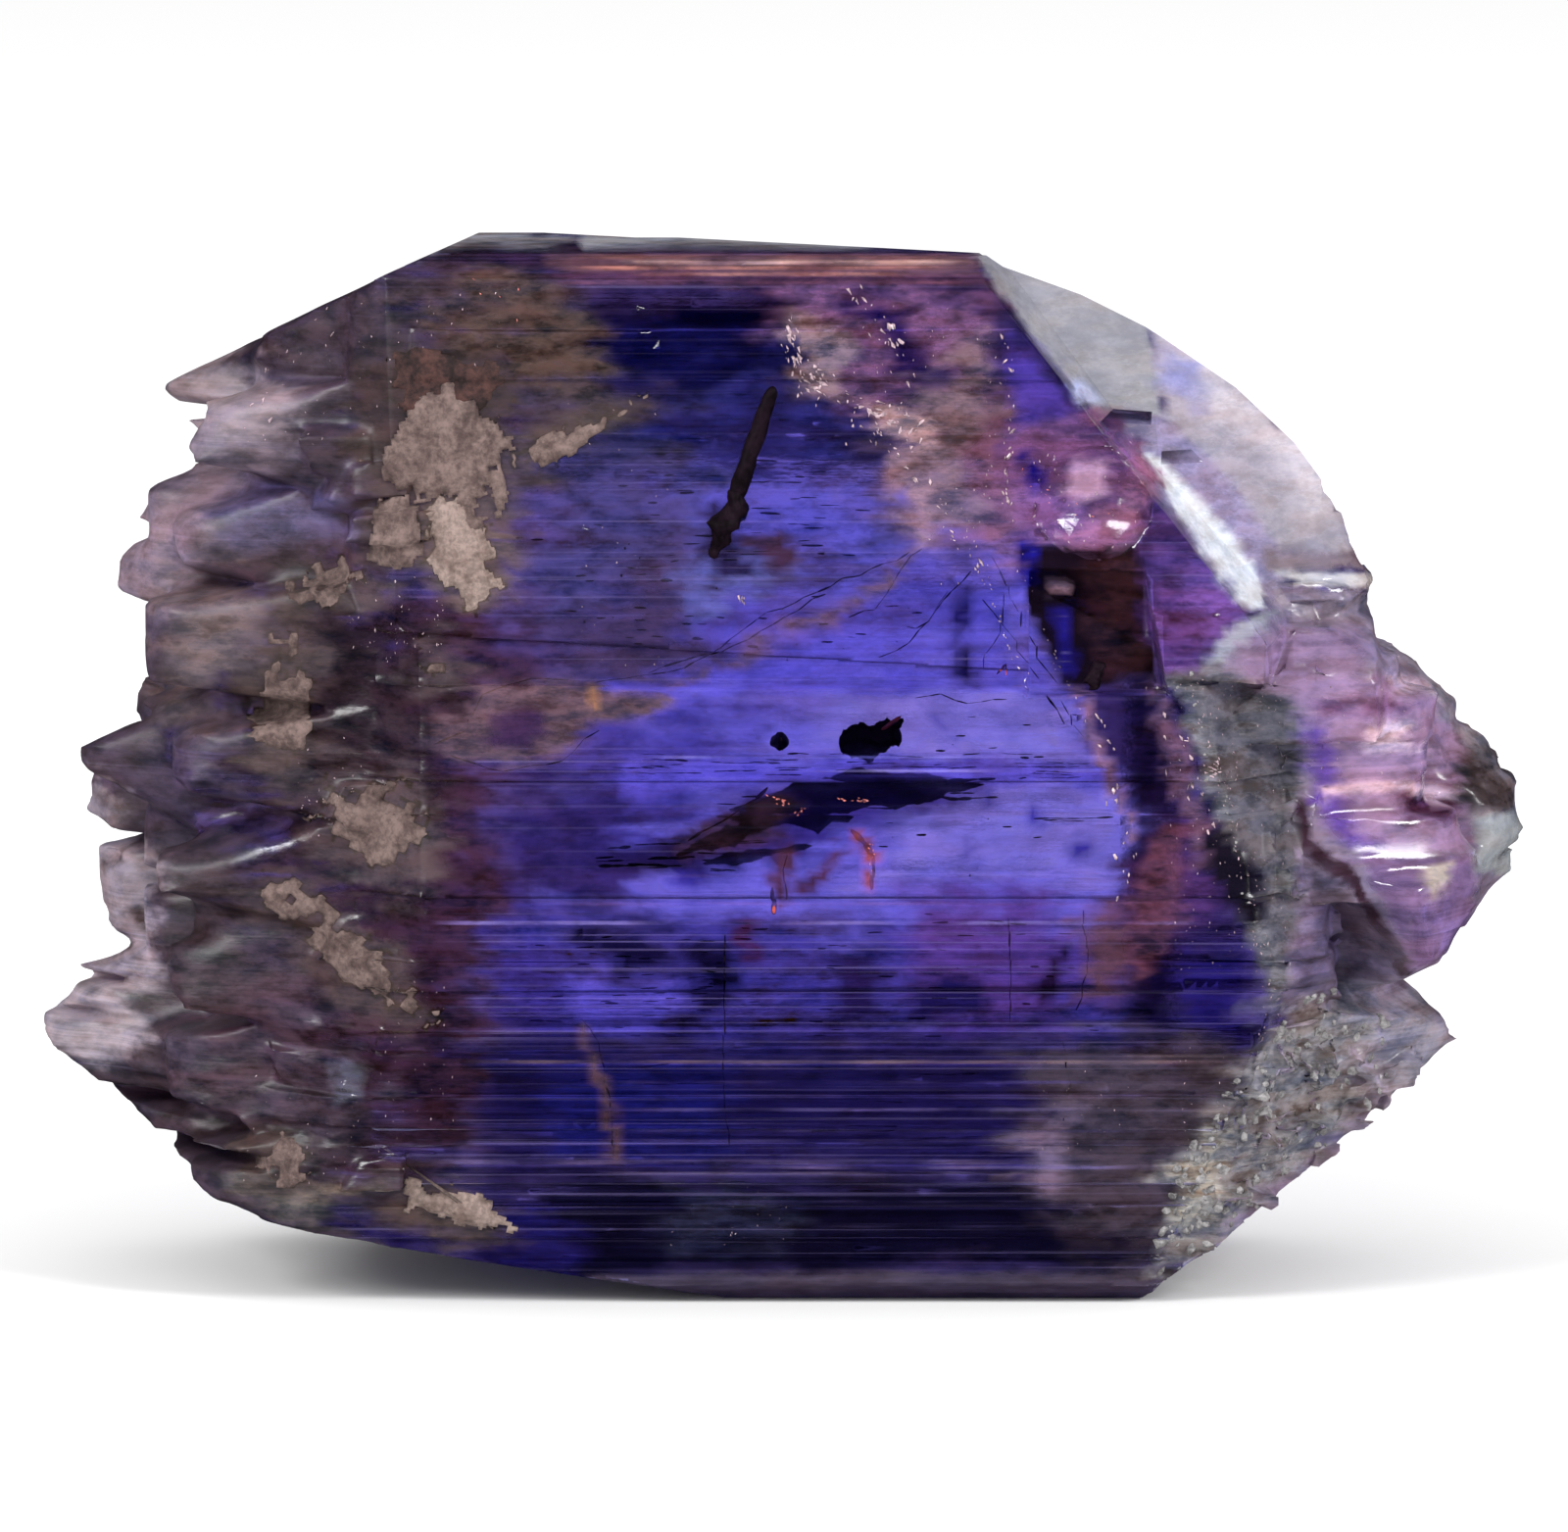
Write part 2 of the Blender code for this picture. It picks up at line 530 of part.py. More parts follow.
def main():
    clear_scene()
    chance = random.Random(GROWTH_SEED)
    part = collection("tanzanite_crystal")
    grown = collection("joined_growth")
    cutters = collection("cutters")

    crystal = lower_body(part)
    crystal.name = "tanzanite_crystal"
    crystal.data.name = "tanzanite_crystal"
    crystal.hide_render = False
    crystal.display_type = "TEXTURED"
    crystal.data.materials.append(crystal_material())

    upper_body(grown)
    long_steps(grown, chance)
    clear_wedge(grown)
    etched_points(grown, chance)
    small_points(grown, chance)
    far_lumps(grown)
    front_lump(grown)
    right_fragment(grown)
    for name, (corners, count, size, tumble, seed) in CHIP_PATCHES.items():
        chips(name, corners, count, size, tumble, seed, grown)

    end_slots(cutters, chance)
    hollows(cutters)
    block("ground", (-20, -20, -6), (20, 20, 0), [], cutters)
    join(crystal, "UNION", grown)
    join(crystal, "DIFFERENCE", cutters, "MANIFOLD")


main()
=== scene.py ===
import bisect
import math
import random

import bmesh
import bpy
import numpy
from bpy.props import FloatProperty, FloatVectorProperty, IntProperty, PointerProperty
from mathutils import Euler, Matrix, Vector, noise
from mathutils.bvhtree import BVHTree


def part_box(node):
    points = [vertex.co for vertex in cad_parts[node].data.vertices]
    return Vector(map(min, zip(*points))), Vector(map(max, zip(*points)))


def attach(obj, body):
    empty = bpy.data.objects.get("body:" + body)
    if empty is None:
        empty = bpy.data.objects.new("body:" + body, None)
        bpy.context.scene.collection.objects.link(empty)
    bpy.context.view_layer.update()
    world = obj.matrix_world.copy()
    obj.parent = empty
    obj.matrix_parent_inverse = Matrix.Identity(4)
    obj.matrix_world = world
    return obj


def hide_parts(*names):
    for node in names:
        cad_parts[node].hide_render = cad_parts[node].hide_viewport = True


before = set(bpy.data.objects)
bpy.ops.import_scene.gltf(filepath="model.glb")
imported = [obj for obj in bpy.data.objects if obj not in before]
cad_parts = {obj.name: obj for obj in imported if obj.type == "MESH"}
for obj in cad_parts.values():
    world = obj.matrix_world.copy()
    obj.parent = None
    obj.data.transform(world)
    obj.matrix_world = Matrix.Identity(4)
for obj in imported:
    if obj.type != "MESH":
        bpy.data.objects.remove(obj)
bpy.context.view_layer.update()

bl_info = {
    "name": "Tanzanite Crystal",
    "version": (1, 0, 0),
    "blender": (4, 5, 0),
    "location": "3D View > Sidebar > Tanzanite",
    "description": "Finishes the packed crystal: striated clear zoisite, crust, inclusions and the stage",
    "category": "Object",
}

MM = 0.001
CRYSTAL_NODE = "tanzanite_crystal"


def linear(hex_code):
    """An sRGB hex colour as linear red, green and blue."""
    channels = [int(hex_code[i:i + 2], 16) / 255 for i in (0, 2, 4)]
    return tuple(c / 12.92 if c <= 0.04045 else ((c + 0.055) / 1.055) ** 2.4 for c in channels)


# The photo's column at the crystal's middle and its row at the foot of the front, how high that row is in mm,
# and how many mm a pixel measures there
MIDDLE_COLUMN = 802.5
FOOT_ROW = 1316
FOOT_HEIGHT = 0.222
MM_ACROSS = 0.01519
MM_UP = 0.015743


def on_front(pixels):
    """Pixels of the photo as X and height in mm on the crystal's front, to a hundredth."""
    across = [round((column - MIDDLE_COLUMN) * MM_ACROSS, 2) for column, _ in pixels]
    height = [round((FOOT_ROW - row) * MM_UP + FOOT_HEIGHT, 2) for _, row in pixels]
    return tuple(zip(across, height))


# The crystal's patches: name, side, sRGB colour, clarity, roughness, soft rim and wander in mm, mottling,
# and the outline in pixels, read off the photo. A later patch lies over an earlier one.
AREAS = (
    ("left_end", "round", "544250", 0.5, 0.5, 0.9, 0.8, 0.45, (
        (0, 200), (455, 200), (425, 330), (400, 470), (385, 570), (300, 650), (255, 720), (250, 820),
        (262, 900), (300, 1000), (330, 1110), (430, 1240), (440, 1400), (0, 1400))),
    ("right_end", "round", "9A87A2", 0.5, 0.35, 0.3, 0.3, 0.4, (
        (1262, 640), (1500, 600), (1700, 700), (1700, 1400), (1180, 1400), (1225, 1290), (1270, 1150),
        (1310, 1010), (1262, 850), (1215, 700))),
    ("left_upper_shade", "front", "382A3C", 0.5, 0.3, 0.5, 0.6, 0.75, (
        (190, 375), (290, 318), (370, 283), (470, 246), (600, 246), (560, 300), (480, 330), (400, 360),
        (300, 380))),
    ("left_inner", "front", "4A3642", 0.5, 0.45, 0.7, 0.8, 0.6, (
        (250, 310), (380, 290), (440, 330), (400, 420), (380, 560), (300, 560), (270, 470), (330, 420))),
    # The top lobe's own pale colour, with a painted highlight on it
    ("left_lobe_top", "front", "CDB8C0", 0.6, 0.55, 0.4, 0.4, 0.3, (
        (150, 400), (190, 378), (270, 385), (300, 420), (270, 452), (220, 470), (170, 450))),
    ("left_lobe_two", "front", "C2A8B8", 0.6, 0.55, 0.4, 0.4, 0.35, (
        (105, 550), (150, 495), (195, 478), (260, 490), (230, 540), (190, 560), (200, 600), (150, 620),
        (110, 615))),
    ("left_blue_streaks", "front", "85779E", 0.6, 0.5, 0.35, 0.4, 0.5, (
        (215, 505), (280, 500), (330, 520), (385, 550), (330, 568), (240, 565))),
    ("left_crease", "front", "50323C", 0.4, 0.5, 0.3, 0.3, 0.5, (
        (225, 580), (300, 560), (385, 562), (370, 590), (310, 605), (250, 600))),
    ("left_tan_body", "front", "745E60", 0.4, 0.55, 0.45, 0.5, 0.5, (
        (150, 600), (225, 590), (265, 620), (262, 680), (225, 720), (180, 740), (165, 690))),
    ("left_point_violet", "front", "56425E", 0.5, 0.5, 0.35, 0.4, 0.5, (
        (85, 755), (130, 735), (175, 760), (210, 800), (205, 845), (150, 850), (110, 820), (90, 790))),
    ("left_plates", "front", "E0D0DA", 0.65, 0.45, 0.3, 0.25, 0.3, (
        (70, 800), (100, 800), (130, 850), (155, 880), (158, 1000), (150, 1040), (60, 1000), (85, 900))),
    ("left_tip", "front", "DCCCD4", 0.6, 0.45, 0.25, 0.2, 0.3, (
        (25, 1045), (65, 985), (150, 985), (150, 1060), (110, 1075), (75, 1090))),
    ("left_lower_body", "front", "46323C", 0.4, 0.48, 0.8, 0.9, 0.7, (
        (155, 860), (250, 880), (310, 960), (420, 1040), (440, 1120), (420, 1260), (330, 1250),
        (200, 1190), (110, 1120), (160, 1060))),
    ("left_lower_inner", "front", "2E1C24", 0.4, 0.42, 0.8, 0.9, 0.8, (
        (260, 880), (400, 900), (440, 1040), (430, 1200), (330, 1160), (270, 1040))),
    ("left_lower_pink", "front", "543846", 0.45, 0.45, 0.6, 0.6, 0.6, (
        (200, 980), (290, 1000), (290, 1080), (230, 1130), (190, 1080))),
    ("left_lower_tan", "front", "6A5A4E", 0.25, 0.65, 0.35, 0.5, 0.7, (
        (240, 1170), (300, 1160), (350, 1200), (345, 1245), (280, 1238), (240, 1200))),
    ("left_grey_facet", "front", "5F6068", 0.5, 0.15, 0.1, 0.1, 0.2, (
        (332, 1080), (368, 1078), (366, 1112), (340, 1118))),
    ("left_grey_leaf", "front", "66656C", 0.5, 0.15, 0.1, 0.1, 0.3, (
        (380, 1112), (412, 1068), (428, 1048), (424, 1085), (404, 1120))),
    ("brown_dark", "front", "2E1826", 0.45, 0.12, 0.8, 0.7, 0.8, (
        (385, 570), (480, 620), (560, 640), (520, 740), (520, 800), (545, 900), (540, 1000), (520, 1060),
        (500, 1160), (400, 1180), (330, 1020), (290, 930), (255, 820), (262, 720), (300, 650))),
    ("brown_dark_core", "front", "221214", 0.4, 0.3, 0.6, 0.7, 0.9, (
        (300, 640), (430, 640), (470, 740), (440, 830), (430, 930), (330, 920), (270, 860), (255, 760),
        (280, 690))),
    ("upper_left_brown", "front", "4C3830", 0.4, 0.35, 0.6, 0.8, 0.85, (
        (430, 320), (470, 290), (540, 275), (640, 300), (680, 350), (660, 420), (600, 470), (540, 480),
        (520, 400), (440, 400))),
    ("upper_left_dark", "front", "2C1C28", 0.45, 0.25, 0.4, 0.6, 0.75, (
        (470, 262), (560, 268), (600, 300), (560, 312), (500, 296), (440, 310))),
    ("upper_left_purple", "front", "3A2440", 0.55, 0.2, 0.6, 0.7, 0.7, (
        (480, 255), (600, 250), (690, 305), (720, 345), (690, 400), (640, 330), (560, 290), (480, 285))),
    ("upper_left_rust", "front", "482A2A", 0.3, 0.6, 0.4, 0.6, 0.7, (
        (385, 405), (430, 385), (500, 390), (500, 440), (450, 450), (400, 440))),
    ("upper_blue", "front", "6A6CA4", 0.82, 0.12, 0.5, 0.7, 0.7, (
        (690, 350), (800, 330), (860, 420), (930, 520), (900, 570), (790, 600), (700, 610), (670, 520),
        (660, 420))),
    ("upper_navy", "front", "42428A", 0.82, 0.1, 0.4, 0.6, 0.7, (
        (620, 330), (810, 325), (850, 400), (780, 400), (700, 420), (640, 400))),
    ("upper_blue_bright", "front", "8682D4", 0.9, 0.1, 0.45, 0.7, 0.6, (
        (700, 430), (790, 400), (860, 440), (880, 500), (870, 560), (800, 590), (740, 560), (700, 500))),
    ("upper_dusty_blue", "front", "484274", 0.62, 0.25, 0.7, 0.9, 0.75, (
        (530, 470), (620, 420), (700, 440), (690, 540), (700, 610), (640, 660), (560, 650), (530, 580))),
    ("upper_light_patch", "front", "8C94D0", 0.8, 0.2, 0.3, 0.4, 0.4, (
        (690, 575), (760, 565), (790, 590), (770, 630), (720, 640), (690, 615))),
    ("rod_root", "front", "30182A", 0.5, 0.25, 0.12, 0.25, 0.7, (
        (756, 548), (798, 542), (806, 580), (792, 600), (764, 596))),
    ("rod_smudge", "front", "1E1634", 0.55, 0.15, 0.14, 0.3, 0.6, (
        (712, 548), (736, 520), (762, 548), (756, 592), (726, 604))),
    ("under_bevel", "front", "40305C", 0.7, 0.1, 0.2, 0.25, 0.5, (
        (590, 300), (1000, 300), (1010, 322), (700, 345), (600, 330))),
    ("navy_notch", "front", "1A1850", 0.8, 0.05, 0.08, 0.1, 0.3, (
        (690, 328), (800, 326), (802, 350), (690, 348))),
    ("pink_shoulder", "front", "744A74", 0.5, 0.25, 0.5, 0.6, 0.75, (
        (800, 296), (995, 296), (1030, 350), (1030, 420), (960, 440), (900, 430), (850, 410), (810, 350))),
    ("shoulder_pale", "front", "8E727C", 0.5, 0.25, 0.1, 0.25, 0.7, (
        (802, 326), (824, 330), (848, 352), (862, 386), (852, 412), (816, 406), (804, 370))),
    ("shoulder_blue", "front", "40308A", 0.8, 0.08, 0.25, 0.4, 0.5, (
        (880, 330), (915, 335), (960, 400), (965, 430), (930, 415))),
    ("tan_curtain", "front", "7C5E68", 0.5, 0.35, 0.35, 0.5, 0.7, (
        (925, 420), (985, 370), (1020, 370), (1015, 430), (1000, 520), (985, 565), (950, 560), (880, 520),
        (920, 470))),
    # The curtain's edge: its beige colour, lightened with a painted highlight
    ("curtain_edge", "front", "B48C90", 0.4, 0.3, 0.12, 0.25, 0.6, (
        (868, 418), (900, 420), (948, 446), (940, 474), (914, 462), (884, 440))),
    ("curtain_fold", "front", "8E6C76", 0.45, 0.3, 0.15, 0.3, 0.6, (
        (900, 470), (930, 490), (960, 560), (990, 610), (970, 600), (930, 550))),
    ("pink_column", "front", "704660", 0.5, 0.25, 0.25, 0.3, 0.7, (
        (985, 440), (1030, 420), (1040, 560), (1050, 640), (1085, 700), (1060, 710), (1020, 640),
        (990, 560))),
    ("window", "front", "A8A2FF", 1, 0.03, 0.5, 0.5, 0.2, (
        (600, 800), (620, 735), (700, 700), (790, 650), (880, 590), (1000, 575), (1050, 640), (1085, 705),
        (1115, 745), (1148, 790), (1150, 935), (560, 935), (580, 870))),
    ("window_glow", "front", "C0BAFF", 1, 0.03, 0.5, 0.5, 0.25, (
        (860, 715), (1060, 705), (1110, 760), (1140, 850), (1135, 900), (900, 890), (930, 800), (860, 760))),
    ("window_dusk", "front", "6A62B6", 0.9, 0.06, 0.5, 0.6, 0.55, (
        (600, 720), (780, 720), (760, 790), (680, 860), (600, 900), (570, 860))),
    ("window_top_dusk", "front", "7870CC", 0.92, 0.06, 0.4, 0.5, 0.5, (
        (700, 640), (900, 590), (1000, 590), (1030, 640), (900, 660), (760, 690), (700, 690))),
    ("blot_a", "front", "5A52C0", 0.9, 0.06, 0.14, 0.2, 0.3, (
        (1002, 800), (1018, 806), (1012, 826), (998, 820))),
    ("blot_b", "front", "5A52C0", 0.9, 0.06, 0.14, 0.2, 0.3, (
        (1050, 822), (1066, 830), (1058, 850), (1044, 842))),
    ("blot_c", "front", "5048B8", 0.9, 0.06, 0.14, 0.2, 0.3, (
        (1090, 850), (1112, 856), (1104, 880), (1088, 872))),
    ("blot_d", "front", "5A52C0", 0.9, 0.06, 0.12, 0.2, 0.3, (
        (985, 860), (1000, 864), (994, 880), (980, 874))),
    ("blot_e", "front", "625AC8", 0.9, 0.06, 0.12, 0.2, 0.3, (
        (960, 735), (975, 738), (970, 752), (956, 748))),
    ("blot_f", "front", "625AC8", 0.9, 0.06, 0.14, 0.25, 0.3, (
        (690, 880), (730, 876), (740, 900), (700, 910))),
    ("window_shade", "front", "8882E8", 0.93, 0.06, 0.35, 0.6, 0.4, (
        (600, 700), (700, 660), (760, 640), (900, 640), (1060, 660), (1070, 704), (900, 704), (760, 712),
        (640, 730))),
    ("smudge_a", "front", "2A2468", 0.88, 0.08, 0.12, 0.25, 0.5, (
        (966, 594), (984, 600), (990, 648), (978, 656), (966, 622))),
    ("smudge_b", "front", "221E58", 0.88, 0.08, 0.12, 0.25, 0.5, (
        (968, 668), (1000, 668), (1004, 696), (974, 702))),
    ("window_left_purple", "front", "40306A", 0.7, 0.12, 0.6, 0.6, 0.6, (
        (530, 790), (600, 785), (660, 830), (670, 880), (640, 940), (520, 940))),
    ("window_band", "front", "8E86F2", 0.96, 0.05, 0.15, 0.2, 0.5, (
        (640, 774), (1140, 772), (1142, 800), (640, 800))),
    ("tube_shadow", "front", "5A4C9C", 0.9, 0.1, 0.3, 0.3, 0.5, (
        (610, 880), (700, 850), (770, 800), (860, 785), (1010, 790), (1010, 820), (880, 850), (790, 890),
        (640, 895))),
    ("tube_smoke", "front", "3A2C5C", 0.85, 0.1, 0.12, 0.25, 0.6, (
        (600, 876), (700, 856), (750, 862), (760, 884), (640, 890))),
    ("tube_brown", "front", "4A3048", 0.65, 0.2, 0.1, 0.25, 0.8, (
        (690, 852), (750, 824), (800, 808), (826, 816), (806, 846), (770, 866), (700, 874))),
    ("loop_left", "front", "50283E", 0.55, 0.2, 0.09, 0.1, 0.5, (
        (788, 864), (808, 855), (814, 880), (808, 918), (792, 925), (784, 890))),
    ("loop_under", "front", "5A2C44", 0.6, 0.2, 0.08, 0.1, 0.5, (
        (804, 902), (830, 892), (845, 878), (852, 858), (864, 866), (850, 893), (825, 914))),
    ("loop_right", "front", "8C3A34", 0.45, 0.2, 0.07, 0.06, 0.5, (
        (866, 842), (884, 848), (896, 870), (894, 906), (882, 906), (884, 880), (870, 858))),
    ("lower_violet", "front", "5E56A4", 0.82, 0.05, 0.4, 0.5, 0.75, (
        (520, 938), (1160, 938), (1150, 1040), (1000, 1060), (520, 1070))),
    ("lower_pink", "front", "7C5AA0", 0.8, 0.05, 0.5, 0.5, 0.5, (
        (930, 900), (1080, 900), (1080, 1040), (960, 1040))),
    ("lower_dusk_a", "front", "2A2258", 0.8, 0.05, 0.2, 0.3, 0.5, (
        (690, 960), (712, 965), (716, 1050), (694, 1050))),
    ("lower_dusk_b", "front", "3A2A5C", 0.8, 0.05, 0.25, 0.4, 0.5, (
        (840, 965), (890, 950), (900, 1040), (850, 1050))),
    ("lower_dusk_c", "front", "2E2660", 0.8, 0.05, 0.2, 0.4, 0.5, (
        (930, 1000), (1010, 990), (1020, 1030), (940, 1044))),
    ("lower_red", "front", "5A2C4C", 0.75, 0.08, 0.15, 0.3, 0.5, (
        (745, 935), (775, 940), (770, 980), (750, 985))),
    ("lower_round_patch", "front", "8A80E0", 0.86, 0.05, 0.2, 0.3, 0.4, (
        (585, 985), (680, 985), (690, 1020), (660, 1052), (600, 1050), (575, 1020))),
    ("lower_dark_patch", "front", "1C1840", 0.8, 0.05, 0.3, 0.4, 0.4, (
        (590, 940), (680, 945), (690, 985), (640, 1000), (600, 980))),
    ("lower_dark_b", "front", "181234", 0.75, 0.05, 0.12, 0.3, 0.6, (
        (700, 958), (742, 962), (744, 1010), (712, 1016), (704, 990))),
    ("lower_dark_c", "front", "2A1430", 0.7, 0.08, 0.1, 0.2, 0.6, (
        (1062, 958), (1082, 956), (1084, 1014), (1058, 1016))),
    ("lower_left_patch", "front", "5A4EA0", 0.8, 0.08, 0.2, 0.25, 0.6, (
        (510, 960), (560, 960), (560, 1050), (508, 1045))),
    ("lower_navy", "front", "4C4486", 0.8, 0.05, 0.4, 0.4, 0.4, (
        (490, 1065), (1180, 1065), (1200, 1190), (480, 1200))),
    ("lower_blue_left", "front", "4648A4", 0.8, 0.05, 0.4, 0.5, 0.5, (
        (555, 1085), (740, 1085), (740, 1165), (560, 1165))),
    ("foot_black", "front", "2A2648", 0.75, 0.05, 0.3, 0.4, 0.4, (
        (560, 1195), (1200, 1195), (1190, 1292), (560, 1292))),
    ("foot_blue_left", "front", "443E94", 0.75, 0.08, 0.3, 0.4, 0.5, (
        (360, 1235), (560, 1215), (600, 1300), (440, 1300))),
    ("foot_flakes", "front", "3C405E", 0.65, 0.3, 0.3, 0.5, 0.7, (
        (670, 1205), (730, 1200), (800, 1230), (790, 1262), (700, 1268), (668, 1240))),
    ("foot_band", "front", "51455C", 0.4, 0.35, 0.06, 0.05, 0.3, (
        (600, 1291), (1215, 1289), (1200, 1330), (600, 1330))),
    ("lower_right_brown", "front", "463844", 0.5, 0.35, 0.6, 0.6, 0.6, (
        (1040, 1080), (1100, 1040), (1230, 1040), (1290, 1080), (1260, 1200), (1210, 1290), (1130, 1290),
        (1050, 1200))),
    ("lower_right_window", "front", "806A86", 0.5, 0.3, 0.3, 0.35, 0.5, (
        (1060, 1130), (1090, 1120), (1100, 1180), (1060, 1210), (1045, 1180))),
    ("veil_lens", "front", "5C4042", 0.4, 0.35, 0.15, 0.25, 0.7, (
        (415, 758), (470, 735), (480, 705), (530, 692), (590, 690), (640, 705), (680, 700), (690, 715),
        (640, 735), (600, 750), (575, 770), (530, 785), (480, 780), (455, 768))),
    ("veil_ring", "front", "50304A", 0.6, 0.2, 0.1, 0.15, 0.5, (
        (500, 735), (540, 722), (560, 730), (565, 752), (540, 765), (505, 760))),
    ("veil_orange", "front", "9A6238", 0.3, 0.5, 0.03, 0.05, 0.3, (
        (600, 697), (608, 697), (616, 728), (606, 726))),
    ("veil_tail", "front", "5C4058", 0.5, 0.3, 0.12, 0.25, 0.6, (
        (620, 708), (700, 694), (760, 660), (820, 630), (870, 604), (925, 566), (935, 572), (890, 608),
        (830, 642), (760, 676), (700, 706))),
    ("veil_smoke", "front", "4E3A5C", 0.65, 0.3, 0.35, 0.5, 0.6, (
        (560, 640), (640, 640), (660, 600), (680, 560), (700, 600), (690, 650), (740, 660), (700, 690),
        (600, 690))),
    ("crack_feather", "front", "5A3A46", 0.5, 0.3, 0.05, 0.1, 0.6, (
        (592, 1030), (604, 1050), (625, 1110), (634, 1180), (622, 1180), (608, 1110))),
    ("light_line", "front", "7A70C8", 0.7, 0.2, 0.06, 0.1, 0.3, (
        (1000, 560), (1006, 560), (1030, 620), (1046, 690), (1038, 690), (1022, 620))),
    ("dark_side", "front", "40305E", 0.72, 0.1, 0.35, 0.5, 0.7, (
        (1050, 640), (1165, 700), (1200, 700), (1240, 800), (1270, 870), (1260, 950), (1290, 1060),
        (1200, 1050), (1150, 1040), (1150, 800), (1110, 740), (1080, 700))),
    ("side_purple", "front", "5C3868", 0.65, 0.15, 0.3, 0.4, 0.7, (
        (1165, 850), (1215, 840), (1225, 900), (1190, 960), (1150, 950))),
    ("side_orange", "front", "58303A", 0.5, 0.3, 0.25, 0.3, 0.5, (
        (1100, 935), (1150, 920), (1165, 960), (1140, 1010), (1105, 1010))),
    ("side_violet", "front", "3A307C", 0.85, 0.06, 0.3, 0.4, 0.5, (
        (1190, 960), (1270, 960), (1290, 1020), (1270, 1060), (1200, 1050))),
    ("side_fibre_a", "front", "70506C", 0.5, 0.2, 0.05, 0.15, 0.8, (
        (1092, 700), (1104, 700), (1142, 790), (1158, 850), (1148, 850), (1124, 790))),
    ("side_fibre_b", "front", "64465C", 0.5, 0.2, 0.06, 0.15, 0.8, (
        (1168, 690), (1186, 700), (1222, 790), (1236, 880), (1224, 880), (1200, 800))),
    ("side_fibre_c", "front", "5A3044", 0.5, 0.2, 0.08, 0.2, 0.8, (
        (1176, 840), (1212, 850), (1196, 960), (1160, 1000), (1150, 960))),
    ("wedge_a", "front", "9C9AA0", 0.35, 0.25, 0.06, 0.03, 0.2, (
        (988, 262), (1040, 283), (1100, 303), (1170, 340), (1180, 400), (1190, 490), (1165, 470),
        (1120, 430), (1085, 398), (1040, 340), (1010, 300))),
    ("wedge_b", "front", "AEA6B2", 0.35, 0.2, 0.08, 0.05, 0.2, (
        (1168, 335), (1260, 398), (1322, 455), (1372, 520), (1400, 568), (1290, 570), (1240, 520),
        (1190, 480), (1180, 400))),
    ("wedge_sheen", "front", "D4CAD2", 0.35, 0.2, 0.25, 0.2, 0.2, (
        (1180, 350), (1260, 398), (1322, 455), (1372, 520), (1340, 530), (1290, 470), (1220, 410))),
    ("wedge_lilac", "front", "A09ED0", 0.4, 0.2, 0.2, 0.2, 0.2, (
        (1180, 360), (1215, 380), (1220, 420), (1185, 400))),
    ("slit_red", "front", "7A4468", 0.4, 0.2, 0.06, 0.06, 0.4, (
        (1098, 432), (1120, 425), (1160, 428), (1192, 440), (1190, 452), (1150, 452), (1115, 444))),
    ("wedge_blue_flash", "front", "B8C0EA", 0.35, 0.2, 0.08, 0.1, 0.3, (
        (1085, 400), (1100, 395), (1118, 420), (1100, 425))),
    ("wedge_gap", "front", "9488A6", 0.4, 0.2, 0.08, 0.05, 0.4, (
        (1140, 424), (1196, 440), (1262, 506), (1316, 575), (1304, 622), (1250, 606), (1186, 520),
        (1150, 460))),
    # Painted highlight: the narrow facet along the wedge is laid near white and milky where it catches the
    # light
    ("wedge_strip", "front", "CCD0D8", 0.1, 0.25, 0.05, 0.04, 0.2, (
        (1168, 470), (1186, 476), (1215, 510), (1258, 550), (1284, 598), (1294, 626), (1258, 627),
        (1240, 600), (1214, 556), (1192, 514))),
    ("ledge_pink", "front", "7C6874", 0.4, 0.3, 0.05, 0.05, 0.3, (
        (1285, 568), (1440, 563), (1440, 584), (1290, 586))),
    ("ledge_pale", "front", "CCC8CC", 0.35, 0.2, 0.05, 0.05, 0.3, (
        (1300, 587), (1440, 585), (1440, 602), (1320, 602))),
    ("ledge_under", "front", "8C7E8E", 0.4, 0.3, 0.1, 0.1, 0.5, (
        (1300, 603), (1440, 603), (1400, 640), (1300, 640))),
    ("foot_triangle", "front", "A8ACB4", 0.45, 0.15, 0.04, 0.03, 0.2, (
        (1220, 688), (1262, 634), (1302, 628), (1280, 650), (1245, 680))),
    ("violet_corner", "front", "8C72D8", 0.7, 0.1, 0.15, 0.15, 0.4, (
        (1032, 352), (1060, 370), (1098, 432), (1040, 450), (1028, 440))),
    ("bowl", "front", "7A4E82", 0.5, 0.18, 0.15, 0.2, 0.5, (
        (1028, 440), (1100, 430), (1150, 455), (1180, 500), (1175, 540), (1150, 562), (1040, 562),
        (1020, 500))),
    ("bowl_pink_side", "front", "9A6284", 0.45, 0.2, 0.15, 0.2, 0.5, (
        (1150, 460), (1182, 500), (1175, 545), (1120, 562), (1060, 562), (1100, 545), (1140, 520))),
    ("bowl_blue", "front", "3228B0", 0.75, 0.08, 0.13, 0.2, 0.3, (
        (1045, 470), (1062, 470), (1064, 505), (1048, 508))),
    ("bowl_flash", "front", "D0A4CC", 0.25, 0.2, 0.15, 0.25, 0.3, (
        (1092, 485), (1122, 480), (1126, 510), (1100, 525), (1088, 510))),
    # Painted shade: the recess under the ledge is laid nearly black
    ("notch_black", "front", "0E060C", 0.25, 0.12, 0.04, 0.04, 0.3, (
        (1035, 562), (1160, 562), (1168, 580), (1172, 640), (1182, 690), (1130, 700), (1085, 700),
        (1050, 630))),
    ("notch_brown", "front", "30161A", 0.25, 0.2, 0.12, 0.12, 0.8, (
        (1105, 575), (1160, 575), (1165, 640), (1172, 690), (1130, 694), (1108, 650))),
    ("notch_blue_a", "front", "1C1A9C", 0.6, 0.08, 0.12, 0.15, 0.3, (
        (1036, 562), (1048, 562), (1050, 600), (1040, 600))),
